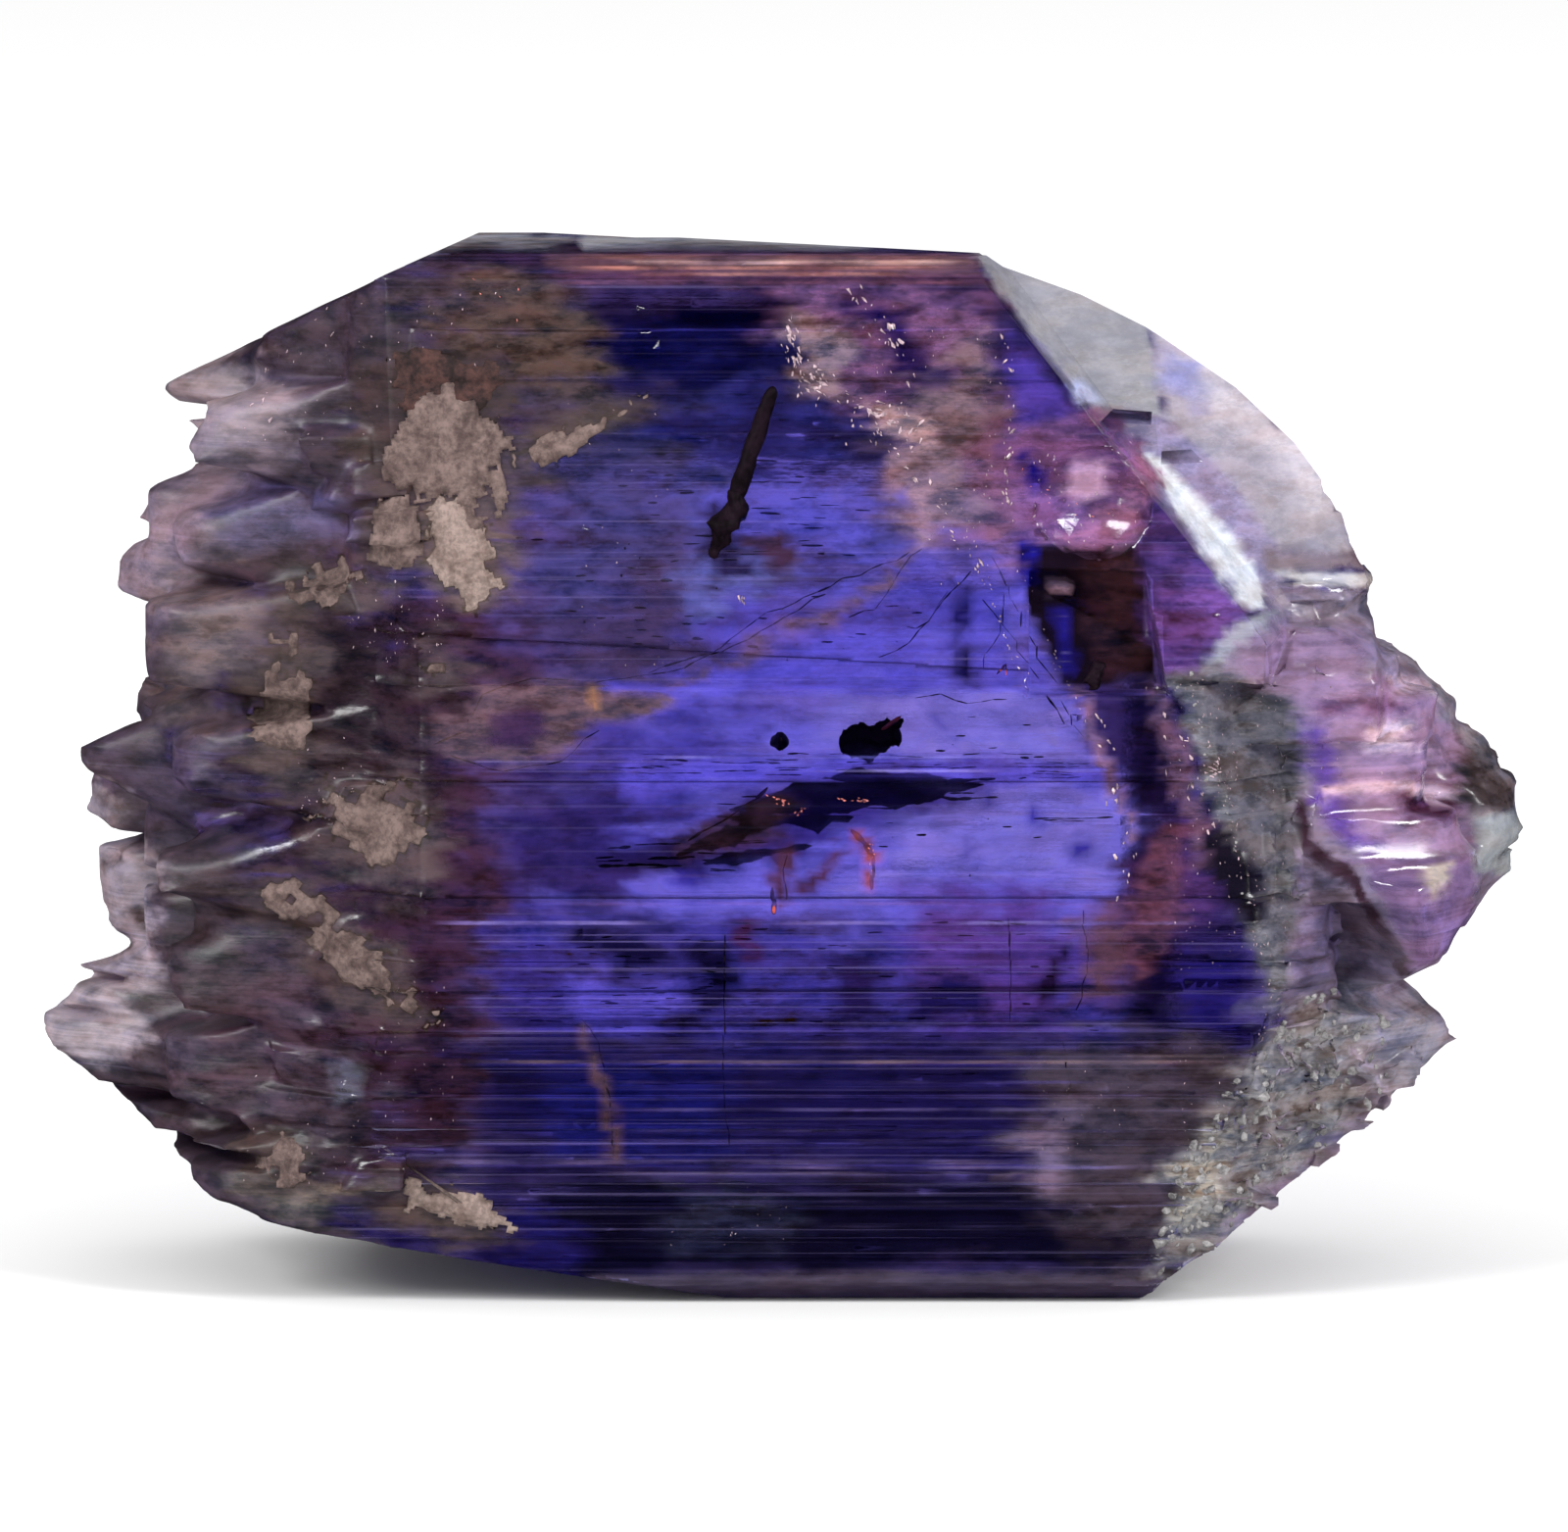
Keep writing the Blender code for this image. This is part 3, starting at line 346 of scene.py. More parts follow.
    ("notch_blue_b", "front", "1A1484", 0.6, 0.1, 0.08, 0.05, 0.5, (
        (1074, 626), (1088, 624), (1097, 690), (1082, 692))),
    ("notch_flash", "front", "B08898", 0.3, 0.2, 0.05, 0.05, 0.6, (
        (1070, 599), (1094, 600), (1093, 609), (1072, 609))),
    ("violet_step", "front", "80569C", 0.6, 0.15, 0.15, 0.15, 0.65, (
        (1166, 600), (1250, 600), (1262, 632), (1222, 686), (1185, 695), (1172, 640))),
    ("violet_step_top", "front", "6E4C8C", 0.6, 0.15, 0.15, 0.15, 0.6, (
        (1160, 560), (1182, 520), (1200, 530), (1240, 598), (1168, 598))),
    ("rough_face", "front", "4E4A52", 0.15, 0.55, 0.12, 0.1, 0.7, (
        (1196, 690), (1270, 690), (1330, 695), (1326, 800), (1322, 850), (1330, 900), (1310, 1010),
        (1275, 950), (1255, 860), (1240, 790))),
    ("rough_ridge", "front", "5C5B62", 0.15, 0.6, 0.12, 0.12, 0.8, (
        (1196, 690), (1212, 692), (1250, 810), (1284, 920), (1312, 1010), (1298, 1010), (1262, 905),
        (1232, 800))),
    ("black_patch", "front", "0C0810", 0.3, 0.2, 0.1, 0.2, 0.4, (
        (1228, 855), (1262, 848), (1285, 880), (1288, 930), (1250, 925))),
    ("mauve_cap", "front", "9A7C9E", 0.5, 0.25, 0.2, 0.2, 0.3, (
        (1262, 672), (1300, 645), (1360, 640), (1400, 668), (1380, 712), (1330, 712), (1280, 700))),
    ("pink_lump", "front", "B48EB8", 0.5, 0.3, 0.2, 0.15, 0.35, (
        (1325, 700), (1400, 690), (1460, 700), (1490, 760), (1508, 830), (1500, 870), (1400, 872),
        (1345, 830))),
    # Painted highlights on the pink lump: two pale spots here, and a pale line further down
    ("lump_pale_a", "front", "E4C8DC", 0.4, 0.15, 0.12, 0.2, 0.5, (
        (1392, 738), (1440, 742), (1444, 768), (1398, 770))),
    ("lump_pale_b", "front", "DCC0D6", 0.4, 0.15, 0.08, 0.15, 0.5, (
        (1420, 688), (1470, 700), (1476, 712), (1424, 704))),
    ("lump_dark_a", "front", "7A5078", 0.5, 0.15, 0.12, 0.2, 0.5, (
        (1340, 716), (1400, 712), (1440, 722), (1396, 732), (1344, 732))),
    ("lump_violet_side", "front", "8E6ACC", 0.6, 0.2, 0.2, 0.2, 0.4, (
        (1325, 740), (1350, 745), (1375, 830), (1400, 870), (1370, 862), (1335, 830))),
    ("lump_window", "front", "5E3048", 0.5, 0.12, 0.15, 0.15, 0.6, (
        (1425, 800), (1490, 795), (1488, 835), (1430, 842))),
    # Painted highlight: a pale line across the pink lump
    ("lump_pale_line", "front", "E8C4D8", 0.35, 0.15, 0.06, 0.08, 0.4, (
        (1345, 802), (1420, 796), (1492, 806), (1490, 814), (1420, 806), (1350, 812))),
    ("lump_facet", "front", "AE90BC", 0.6, 0.1, 0.1, 0.06, 0.3, (
        (1395, 872), (1508, 872), (1505, 945), (1440, 998), (1425, 940))),
    ("lump_facet_cream", "front", "C8B8AE", 0.4, 0.2, 0.08, 0.1, 0.3, (
        (1448, 885), (1490, 878), (1478, 905), (1462, 915))),
    ("lump_edge", "front", "3C2430", 0.4, 0.2, 0.04, 0.05, 0.3, (
        (1325, 800), (1340, 860), (1385, 885), (1445, 992), (1432, 998), (1378, 900), (1330, 872),
        (1320, 830))),
    ("mauve_facet", "front", "5E5266", 0.45, 0.3, 0.2, 0.3, 0.5, (
        (1332, 878), (1378, 895), (1430, 998), (1380, 1012), (1335, 1010), (1318, 950))),
    ("far_lumps", "front", "9C929E", 0.5, 0.3, 0.2, 0.2, 0.5, (
        (1400, 650), (1440, 658), (1495, 700), (1540, 760), (1572, 850), (1510, 845), (1490, 760),
        (1462, 700))),
    ("far_black", "front", "4A4044", 0.4, 0.3, 0.2, 0.25, 0.6, (
        (1468, 765), (1520, 760), (1550, 800), (1545, 822), (1500, 826), (1480, 800))),
    ("far_tip", "front", "C6CACE", 0.5, 0.15, 0.06, 0.05, 0.2, (
        (1505, 832), (1600, 826), (1600, 868), (1540, 893), (1508, 888))),
    ("grain_wedge", "front", "7A7678", 0.3, 0.6, 0.3, 0.4, 0.7, (
        (1310, 1010), (1400, 1010), (1440, 1060), (1400, 1130), (1300, 1210), (1220, 1290), (1180, 1300),
        (1200, 1200), (1240, 1120), (1290, 1060))),
    ("grain_wedge_pale", "front", "B6AEBA", 0.55, 0.3, 0.3, 0.3, 0.5, (
        (1400, 1010), (1450, 1005), (1505, 1070), (1450, 1115), (1400, 1130), (1370, 1090))),
    ("grain_wedge_white", "front", "989288", 0.15, 0.65, 0.3, 0.4, 0.8, (
        (1200, 1170), (1240, 1150), (1240, 1210), (1225, 1260), (1190, 1250))),
    ("copper_bevel", "bevel", "60404A", 0.5, 0.25, 0.1, 0.1, 0.5, (
        (560, 264), (995, 262), (1005, 300), (620, 301), (560, 285))),
    ("copper_violet", "bevel", "5C3A54", 0.55, 0.2, 0.05, 0.06, 0.6, (
        (560, 292), (1005, 294), (1010, 304), (600, 306))),
    ("grey_top", "top", "B4B4BC", 0.35, 0.3, 0.03, 0.03, 0.25, (
        (590, 230), (1000, 230), (1000, 261), (590, 264))),
    ("grey_top_left", "top", "908E96", 0.35, 0.4, 0.1, 0.2, 0.5, (
        (380, 255), (490, 235), (600, 235), (560, 262), (480, 262), (430, 275))),
)
PATCHES = tuple((*area[:-1], on_front(area[-1])) for area in AREAS)

# Relief sunk into patches: patch, depth in mm, cells per mm along X, Y and Z, and how many finer steps
RELIEF = (
    ("grain_wedge", 0.09, (2.0, 2.0, 2.0), 4),
    ("grain_wedge_pale", 0.06, (1.4, 1.4, 1.4), 3),
    ("rough_face", 0.03, (3.0, 3.0, 3.0), 4),
    ("rough_ridge", 0.05, (3.5, 3.5, 3.5), 4),
    ("bowl", 0.10, (1.6, 1.6, 1.6), 3),
    ("pink_lump", 0.06, (0.3, 0.3, 1.5), 1),
    ("mauve_cap", 0.06, (1.0, 1.0, 2.0), 3),
    ("mauve_facet", 0.05, (2.0, 2.0, 2.0), 3),
    ("far_lumps", 0.06, (0.6, 0.6, 2.0), 3),
    ("pink_shoulder", 0.04, (1.6, 1.6, 1.6), 4),
    ("tan_curtain", 0.05, (2.2, 2.2, 1.4), 4),
    ("upper_blue", 0.03, (1.3, 1.3, 4.0), 3),
    ("upper_dusty_blue", 0.02, (1.6, 1.6, 2.4), 4),
    ("upper_left_brown", 0.04, (2.0, 2.0, 2.0), 4),
    ("brown_dark_core", 0.06, (1.8, 1.8, 2.6), 4),
    ("left_lower_body", 0.07, (1.4, 1.4, 2.4), 4),
    ("veil_lens", 0.012, (3.0, 3.0, 3.0), 3),
    ("foot_flakes", 0.03, (3.0, 3.0, 4.0), 3),
)

# Bright growth lines on the broad face: height, half width, from X and to X in mm, sRGB colour, strength
GROWTH_LINES = (
    (6.22, 0.018, -5.5, 6.4, "8878C0", 0.7),
    (6.52, 0.015, -3.6, 5.4, "7E5490", 0.5),
    (6.95, 0.015, -2.3, 5.4, "54408E", 0.5),
    (3.95, 0.018, -5.0, 7.2, "9C7C74", 0.7),
    (4.05, 0.012, 3.6, 7.2, "8C7470", 0.6),
    (3.62, 0.012, -3.0, 5.0, "5C4E94", 0.5),
    (3.40, 0.010, -2.0, 6.0, "54487E", 0.4),
    (3.18, 0.018, -2.7, 4.6, "7E6CA8", 0.6),
    (2.82, 0.012, -2.9, 5.6, "5C4E8C", 0.5),
    (2.66, 0.012, -2.9, 4.4, "665894", 0.5),
    (2.31, 0.03, -5.8, 3.8, "7E6CA4", 0.8),
    (2.22, 0.014, -2.5, 5.6, "7E6CA4", 0.7),
    (2.13, 0.012, -3.0, 3.4, "9080B0", 0.6),
    (1.92, 0.012, -2.4, 4.8, "5E5280", 0.5),
    (1.65, 0.012, -1.6, 4.4, "4E4470", 0.5),
    (1.25, 0.012, -1.0, 4.6, "443C68", 0.5),
    (9.82, 0.02, -2.4, 4.1, "4C44A8", 0.6),
    (8.79, 0.012, -2.4, 5.2, "A8A2F8", 0.4),
    (8.66, 0.012, -1.0, 4.6, "3E3698", 0.5),
    (8.58, 0.012, 0.2, 5.2, "B0AAFF", 0.4),
    (8.5, 0.015, -3.4, 5.0, "3E349C", 0.5),
    (7.83, 0.02, 4.3, 5.25, "241C64", 0.8),
    (16.45, 0.012, -3.4, 3.0, "9A6458", 0.7),
    (16.38, 0.02, -2.6, 3.0, "F8C4B4", 1.0),
    (16.31, 0.012, -3.4, 3.0, "D08C7C", 0.9),
    (16.22, 0.012, -2.4, 3.0, "D89484", 0.8),
    (16.1, 0.012, -3.6, 3.0, "8E5264", 0.7),
)
LINE_SLOPE = 0.02
# Light passes a clear patch twice, so its colour is deepened; a milky patch shows its colour as it is
CLEAR_DEEPENS = ((0.5, 0.85), (1.0, 1.8))
DRIFT = Vector((31.7, 11.9, 5.3))
FRAYING = 0.3
BACK_DULLER = 0.18
BEVEL_BACK = -3.4
# The patches were laid out looking slightly down on the broad face, so a height drops with depth
FRONT_Y = -5.0
LOOK_SLOPE = 0.123


# Patches of matrix: name, finish, middle X and Z and half size in mm, turn in degrees, raggedness, seed
CRUST_STEP = 0.055
PLATE_ROOM = 1.4
CRUST_PATCHES = (
    ("crust_upper", "tan", (-5.35, 13.35), (1.15, 1.35), 10, 0.5, 1),
    ("crust_upper_rust", "rust", (-5.35, 14.5), (1.25, 0.6), -8, 0.6, 2),
    ("crust_upper_pale", "pale", (-4.95, 12.05), (0.62, 1.15), 12, 0.5, 3),
    ("crust_lobe", "tan", (-6.05, 12.3), (0.5, 0.75), 0, 0.3, 4),
    ("crust_branch", "tan", (-3.3, 13.75), (1.2, 0.24), 28, 0.8, 5),
    ("crust_left", "tan", (-7.8, 9.5), (0.55, 1.25), 0, 0.55, 6),
    ("crust_middle", "tan", (-6.3, 7.7), (1.05, 0.85), -20, 0.6, 7),
    ("crust_diagonal", "tan", (-6.95, 5.7), (1.7, 0.55), -38, 0.6, 8),
    ("crust_foot", "pale", (-5.3, 1.6), (0.9, 0.42), -14, 0.75, 9),
    ("crust_speckle", "tan", (-7.2, 11.25), (0.75, 0.4), 20, 0.8, 10),
    ("crust_spot", "tan", (-5.5, 10.15), (0.4, 0.3), 0, 0.6, 11),
    ("crust_low_left", "tan", (-7.9, 2.3), (0.55, 0.5), 0, 0.7, 12),
)

STAINS = {"tan": "4C3834", "pale": "5C463E", "rust": "40282A"}

# How the etched points are rounded: from this far out in mm, on the left (-1) or right (1), how many times
END_ROUNDING = ((6.4, -1, 8), (7.4, -1, 8), (8.6, -1, 8), (8.4, 1, 5), (9.2, 1, 8))
# Thin spikes at the slots' rims, as seen from the front: X, height and reach in mm, how many times
WORN_SPIKES = ((-9.5, 14.22, 0.55, 60), (-10.25, 12.61, 0.55, 60))
# The wedge, beyond this X and height in mm, has no strips
WEDGE_FROM = (3.1, 11.0)
# Which ways its flat facets face, and how near to one of them a face has to be
WEDGE_FACETS = ((0.25, -0.9, 0.34), (0.55, -0.8, 0.335), (0.7, -0.3, 0.62))
FACET_LIKE = 0.985
SHARP_FROM = math.radians(38)
# A corner counts as the front up to this Y of the way it faces, fading over the second value
FRONT_UNTIL = 0.35
FRONT_FADE = 0.3
# How far off the photo was taken in mm, and where a ray at the front starts
SEEN_FROM = 180
RAY_FROM = -20
# How far the brown stain reaches past each patch of matrix in mm
STAIN_ROOM = 0.1
STAIN_CORNERS = 12
# What a fine pale growth line adds to the colour under it
PALE_LINE = (0.10, 0.08, 0.17)
# The stage: the floor's radius and how far it lies under the crystal in m, the width that the camera
# sees and the point it looks at in mm, and how often light bounces
FLOOR_RADIUS = 3.0
FLOOR_BELOW = 0.00002
SEEN_WIDTH = 25.0
CAMERA_AIM = (-0.039, 0.0, 8.02)
CLEAR_BOUNCES = 24
GLOSSY_BOUNCES = 16
# How strong the growth streaks are at a height: the prism is streaked low down, and hardly on its middle
STREAKS = ((6.2, 6.9, 8.3, 8.5, 8.8, 9.0, 9.6, 10.4), (1.0, 0.2, 0.15, 0.8, 0.8, 0.15, 0.15, 0.5))


# Grains shut in the crystal: start, end and radius in mm, how rough, and how much the ends thin
DARK_LUMPS = (
    ((-0.24, -4.82, 14.4), (-0.8, -4.82, 12.75), 0.13, 0.25, 0.0),
    ((-0.8, -4.84, 12.8), (-1.1, -4.84, 12.0), 0.16, 1.1, 0.3),
    ((-0.14, -4.8, 8.98), (-0.08, -4.8, 8.99), 0.15, 1.1, 0.2),
    ((1.0, -4.75, 8.97), (1.6, -4.75, 9.05), 0.19, 1.0, 0.1),
    ((1.5, -4.8, 9.1), (1.75, -4.8, 9.3), 0.08, 0.8, 0.4),
    ((-0.6, -4.65, 7.85), (2.4, -4.65, 8.3), 0.3, 0.9, 0.7),
    ((0.2, -4.65, 8.2), (1.9, -4.65, 8.42), 0.18, 0.8, 0.6),
    ((-1.6, -4.75, 7.25), (0.1, -4.7, 7.9), 0.12, 1.0, 0.6),
    ((-1.2, -4.75, 7.1), (0.3, -4.75, 7.35), 0.1, 0.9, 0.6),
    ((1.9, -4.7, 8.25), (3.0, -4.7, 8.32), 0.08, 0.8, 0.8),
    ((4.75, -4.75, 10.15), (4.85, -4.75, 9.9), 0.1, 1.2, 0.5),
)
# Fine cracks and veins under the surface: corners of the line in X and Z
CRACKS = (
    ((1.45, 10.35), (1.9, 10.6), (2.3, 11.05), (2.85, 11.65)),
    ((1.85, 10.75), (2.2, 10.9), (2.5, 11.35)),
    ((3.0, 10.2), (3.3, 10.7), (3.35, 11.3)),
    ((1.0, 10.95), (1.35, 11.1), (1.8, 11.7), (2.1, 12.0)),
    ((-2.1, 10.1), (-1.2, 10.4), (-0.3, 11.0), (0.9, 11.5), (1.9, 11.95)),
    ((-3.0, 9.95), (-1.6, 10.15), (-0.6, 10.6), (0.6, 11.3)),
    ((3.05, 11.2), (3.5, 10.6), (3.9, 9.9), (4.3, 9.3)),
    ((3.2, 11.9), (3.6, 11.0), (3.95, 10.2), (4.6, 9.1)),
    ((-3.2, 4.7), (-2.9, 4.1), (-2.75, 3.4), (-2.7, 2.4)),
    ((-0.95, 6.0), (-0.98, 4.4), (-1.0, 3.4), (-0.9, 2.6)),
    ((2.0, 9.7), (2.4, 9.75), (2.8, 9.6), (3.4, 9.68)),
    ((4.3, 4.3), (4.45, 3.6), (4.3, 3.0)),
    ((-5.6, 8.9), (-5.0, 9.2), (-4.7, 9.75), (-4.0, 9.98), (-3.2, 9.95)),
    ((-5.2, 8.8), (-4.4, 8.55), (-3.5, 8.75), (-2.9, 9.2)),
    ((3.45, 6.3), (3.5, 5.4), (3.45, 4.6)),
    ((4.6, 6.4), (4.7, 5.6), (4.5, 4.8)),
)
# Short dark streaks along the growth: corners of the area in X and Z, how many, length and radius in mm
NEEDLES = (
    ((1.2, 8.0), (3.0, 8.45), 26, 0.8, 0.016),
    ((-2.9, 7.0), (-0.4, 7.5), 26, 0.5, 0.016),
    ((-1.0, 7.8), (0.6, 8.3), 14, 0.5, 0.014),
    ((-2.4, 8.45), (4.6, 8.85), 40, 0.6, 0.008),
    ((4.0, 7.8), (4.9, 7.86), 3, 0.7, 0.012),
    ((-4.3, 4.4), (-0.9, 6.0), 46, 0.25, 0.012),
    ((-0.9, 4.3), (4.8, 6.4), 46, 0.22, 0.012),
    ((-1.8, 11.8), (1.3, 15.5), 90, 0.28, 0.012),
    ((-4.0, 10.8), (-1.8, 14.0), 50, 0.16, 0.014),
    ((1.5, 6.9), (4.9, 9.5), 26, 0.12, 0.012),
    ((-2.5, 10.2), (2.4, 11.4), 40, 0.14, 0.012),
    ((-3.6, 1.0), (5.6, 4.0), 70, 0.7, 0.008),
)
# Red-brown threads round the tube, as corners in X and Z, and their radius
RED_THREADS = (
    (((0.02, 7.3), (-0.05, 7.01), (0.02, 6.6)), 0.022),
    (((1.05, 7.62), (1.24, 7.46), (1.36, 7.09), (1.3, 6.75)), 0.035),
    (((-0.22, 6.77), (-0.16, 6.38)), 0.03),
    (((-1.5, 7.5), (-0.7, 7.95), (-0.3, 8.3)), 0.022),
    (((1.5, 9.2), (1.75, 9.4)), 0.03),
    (((3.28, 10.05), (3.36, 10.2), (3.42, 10.05)), 0.02),
)
# Lines of glints: corners in X and Z, how many to the mm, and their size
RED_GLINTS = (
    (((-0.3, 8.22), (0.0, 8.06)), 34, 0.035, 0.03),
    (((0.7, 8.1), (1.0, 8.14), (1.3, 8.08)), 34, 0.045, 0.02),
    (((1.25, 7.5), (1.34, 7.25), (1.32, 7.0)), 24, 0.03, 0.02),
    (((-0.1, 7.86), (0.35, 7.98)), 20, 0.02, 0.02),
    (((3.6, 13.4), (3.66, 13.1)), 16, 0.02, 0.03),
    (((-5.9, 14.3), (-5.35, 14.1), (-4.95, 14.4)), 14, 0.035, 0.12),
    (((-4.7, 16.2), (-4.3, 15.9), (-4.0, 15.4)), 10, 0.03, 0.15),
    (((3.8, 13.0), (4.6, 12.4), (5.3, 12.5)), 12, 0.03, 0.08),
)
BRIGHT_GLINTS = (
    (((0.0, 15.5), (0.08, 15.08), (0.24, 14.64), (0.54, 14.45)), 34, 0.09, 0.06),
    (((0.36, 14.85), (0.66, 14.45)), 40, 0.08, 0.07),
    (((0.99, 16.1), (1.18, 15.74), (1.56, 15.24), (1.86, 14.56)), 20, 0.07, 0.06),
    (((1.56, 15.59), (1.82, 15.08)), 20, 0.08, 0.04),
    (((1.1, 14.25), (1.56, 14.01), (2.05, 13.86), (1.86, 13.5)), 36, 0.08, 0.1),
    (((0.72, 14.41), (1.18, 14.17), (1.56, 13.54), (2.09, 13.07), (2.47, 12.44), (3.0, 11.65)),
     14, 0.07, 0.06),
    (((3.3, 15.43), (3.5, 14.64), (3.46, 13.86), (3.38, 13.07), (3.49, 12.2)), 14, 0.06, 0.04),
    (((3.61, 12.04), (3.76, 11.18), (4.14, 10.23), (4.52, 9.45)), 14, 0.025, 0.05),
    (((2.47, 13.07), (2.77, 12.44), (3.15, 11.49), (3.33, 10.71), (3.76, 9.92)), 14, 0.03, 0.05),
    (((6.27, 9.92), (6.65, 8.66), (6.98, 7.56), (7.25, 6.3), (7.56, 5.2), (7.41, 4.25)), 30, 0.03, 0.08),
    (((6.5, 8.6), (6.75, 8.5)), 60, 0.05, 0.06),
    (((-7.18, 11.18), (-6.72, 11.49), (-6.34, 11.93)), 16, 0.03, 0.04),
    (((4.5, 9.9), (5.0, 8.7), (5.3, 7.6), (5.2, 6.6)), 10, 0.06, 0.1),
    (((5.6, 10.0), (6.1, 8.9), (6.5, 7.6)), 12, 0.06, 0.1),
    (((-0.72, 11.26), (-0.68, 11.12)), 60, 0.06, 0.02),
    (((-8.4, 13.9), (-7.6, 15.2), (-6.6, 15.9)), 7, 0.06, 0.2),
    (((-6.2, 14.9), (-5.2, 15.8)), 7, 0.06, 0.2),
)
# How far under the surface the threads lie in mm, and how their lines are broken up
CRACK_RADIUS = 0.011
CRACK_SUNK = 0.03
NEEDLE_SUNK = 0.045
RED_SUNK = 0.02
THREAD_STEP = 0.22
THREAD_JITTER = 0.022

# Pale flakes where fractures reach the surface, painted as their glints: corners of the area in X and Z, how
# many, how large
SPARKLES = (
    ((-0.05, 14.5), (0.12, 15.6), 8, 0.05),
    ((0.1, 14.1), (0.6, 14.9), 12, 0.045),
    ((0.9, 13.6), (1.9, 14.3), 16, 0.045),
    ((1.0, 14.4), (2.6, 15.9), 30, 0.03),
    ((2.9, 12.6), (3.5, 15.4), 40, 0.025),
    ((2.2, 11.4), (3.2, 12.8), 22, 0.025),
    ((3.8, 12.0), (5.7, 13.6), 50, 0.035),
    ((-0.73, 11.15), (-0.6, 11.28), 3, 0.05),
    ((5.9, 5.4), (7.9, 10.0), 200, 0.022),
    ((6.4, 8.2), (7.0, 9.0), 22, 0.03),
    ((8.2, 8.0), (10.4, 9.9), 30, 0.03),
    ((6.1, 1.6), (8.6, 4.2), 80, 0.025),
    ((-7.6, 7.4), (-6.2, 9.0), 60, 0.03),
    ((-6.8, 10.2), (-5.3, 11.6), 60, 0.03),
    ((-6.4, 3.0), (-5.2, 5.4), 40, 0.025),
    ((-8.6, 13.5), (-4.2, 16.0), 90, 0.025),
    ((-8.6, 1.8), (-5.6, 3.6), 50, 0.025),
    ((-1.9, 0.9), (0.1, 1.9), 24, 0.02),
    ((4.0, 2.4), (5.6, 4.0), 36, 0.02),
    ((-3.4, 9.9), (-1.8, 14.4), 30, 0.018),
)
# Grains bonded to the crystal: patch they keep to, how many, smallest and largest radius in mm
RUBBLE = (
    ("grain_wedge", 260, 0.04, 0.13),
    ("grain_wedge_white", 60, 0.04, 0.12),
    ("rough_ridge", 90, 0.02, 0.06),
)


class CrustSettings(bpy.types.PropertyGroup):
    thickness: FloatProperty(
        name="Thickness", description="Thickness of the matrix patches",
        default=0.00008, min=0.00001, unit="LENGTH")
    seed: IntProperty(name="Seed", description="Seed of the fracture flakes", default=5)


class StriationSettings(bpy.types.PropertyGroup):
    lowest: FloatProperty(
        name="Finest strip", description="Height of the narrowest growth strip",
        default=0.00006, min=0.00001, unit="LENGTH")
    tallest: FloatProperty(
        name="Widest strip", description="Height of the widest growth strip",
        default=0.00022, min=0.00002, unit="LENGTH")
    lower_depth: FloatProperty(
        name="Lower depth", description="How deep the strips of the lower face are cut",
        default=0.000016, min=0, unit="LENGTH")
    window_depth: FloatProperty(
        name="Window depth", description="How deep the strips of the smooth broad face are cut",
        default=0.0000022, min=0, unit="LENGTH")
    end_step: FloatProperty(
        name="Column width", description="Spacing of the upright cuts across the striations",
        default=0.00017, min=0.00005, unit="LENGTH")
    etch_depth: FloatProperty(
        name="Etch depth", description="How deep the ends are etched",
        default=0.00003, min=0, unit="LENGTH")
    seed: IntProperty(name="Seed", description="Seed of the strip heights", default=7)


class TanzaniteSettings(bpy.types.PropertyGroup):
    body: FloatVectorProperty(
        name="Body", description="Colour of the crystal away from its zones",
        subtype="COLOR", default=linear("4A3C78"), min=0, max=1)
    back: FloatVectorProperty(
        name="Back", description="Colour of the crystal's far side",
        subtype="COLOR", default=linear("A49CDC"), min=0, max=1)
    absorbed: FloatVectorProperty(
        name="Absorption", description="Colour that a long way through the crystal leaves",
        subtype="COLOR", default=(0.28, 0.10, 0.80), min=0, max=1)
    density: FloatProperty(
        name="Density", description="Absorption per metre",
        default=55.0, min=0)
    ior: FloatProperty(
        name="IOR", description="Refractive index of tanzanite", default=1.69, min=1)


class StageSettings(bpy.types.PropertyGroup):
    floor: FloatVectorProperty(
        name="Floor", description="Colour of the plain floor",
        subtype="COLOR", default=linear("F2F2F2"), min=0, max=1)
    distance: FloatProperty(
        name="Camera distance", description="How far the camera stands",
        default=0.18, min=0.05, unit="LENGTH")
    elevation: FloatProperty(
        name="Camera elevation", description="How far the camera looks down",
        default=math.radians(7), subtype="ANGLE")


def add(tree, kind, inputs=None, **settings):
    """Adds a node with its own settings, and its inputs either linked or set."""
    node = tree.nodes.new(kind)
    for name, value in settings.items():
        setattr(node, name, value)
    for socket, value in (inputs or {}).items():
        if isinstance(value, bpy.types.NodeSocket):
            tree.links.new(value, node.inputs[socket])
        else:
            node.inputs[socket].default_value = value
    return node


def maths(tree, operation, *values):
    return add(tree, "ShaderNodeMath", dict(enumerate(values)), operation=operation).outputs[0]


def span(tree, value, low, high, to_low=0.0, to_high=1.0, smooth=True):
    """The value brought from one range to another, held at its ends."""
    node = add(
        tree, "ShaderNodeMapRange",
        {"Value": value, "From Min": low, "From Max": high, "To Min": to_low, "To Max": to_high},
        interpolation_type="SMOOTHSTEP" if smooth else "LINEAR",
    )
    return node.outputs[0]


def blend_colour(tree, share, under, over):
    mixed = add(tree, "ShaderNodeMix", {0: share, 6: under, 7: over}, data_type="RGBA")
    return mixed.outputs[2]


def vectors(tree, operation, vector, other):
    """Two vectors brought together, or for SCALE a vector and how much of it."""
    second = "Scale" if operation == "SCALE" else 1
    return add(tree, "ShaderNodeVectorMath", {0: vector, second: other}, operation=operation).outputs[0]


def place_in_mm(tree):
    """Object coordinates in millimetres."""
    where = add(tree, "ShaderNodeTexCoord").outputs["Object"]
    return vectors(tree, "MULTIPLY", where, (1 / MM, 1 / MM, 1 / MM))


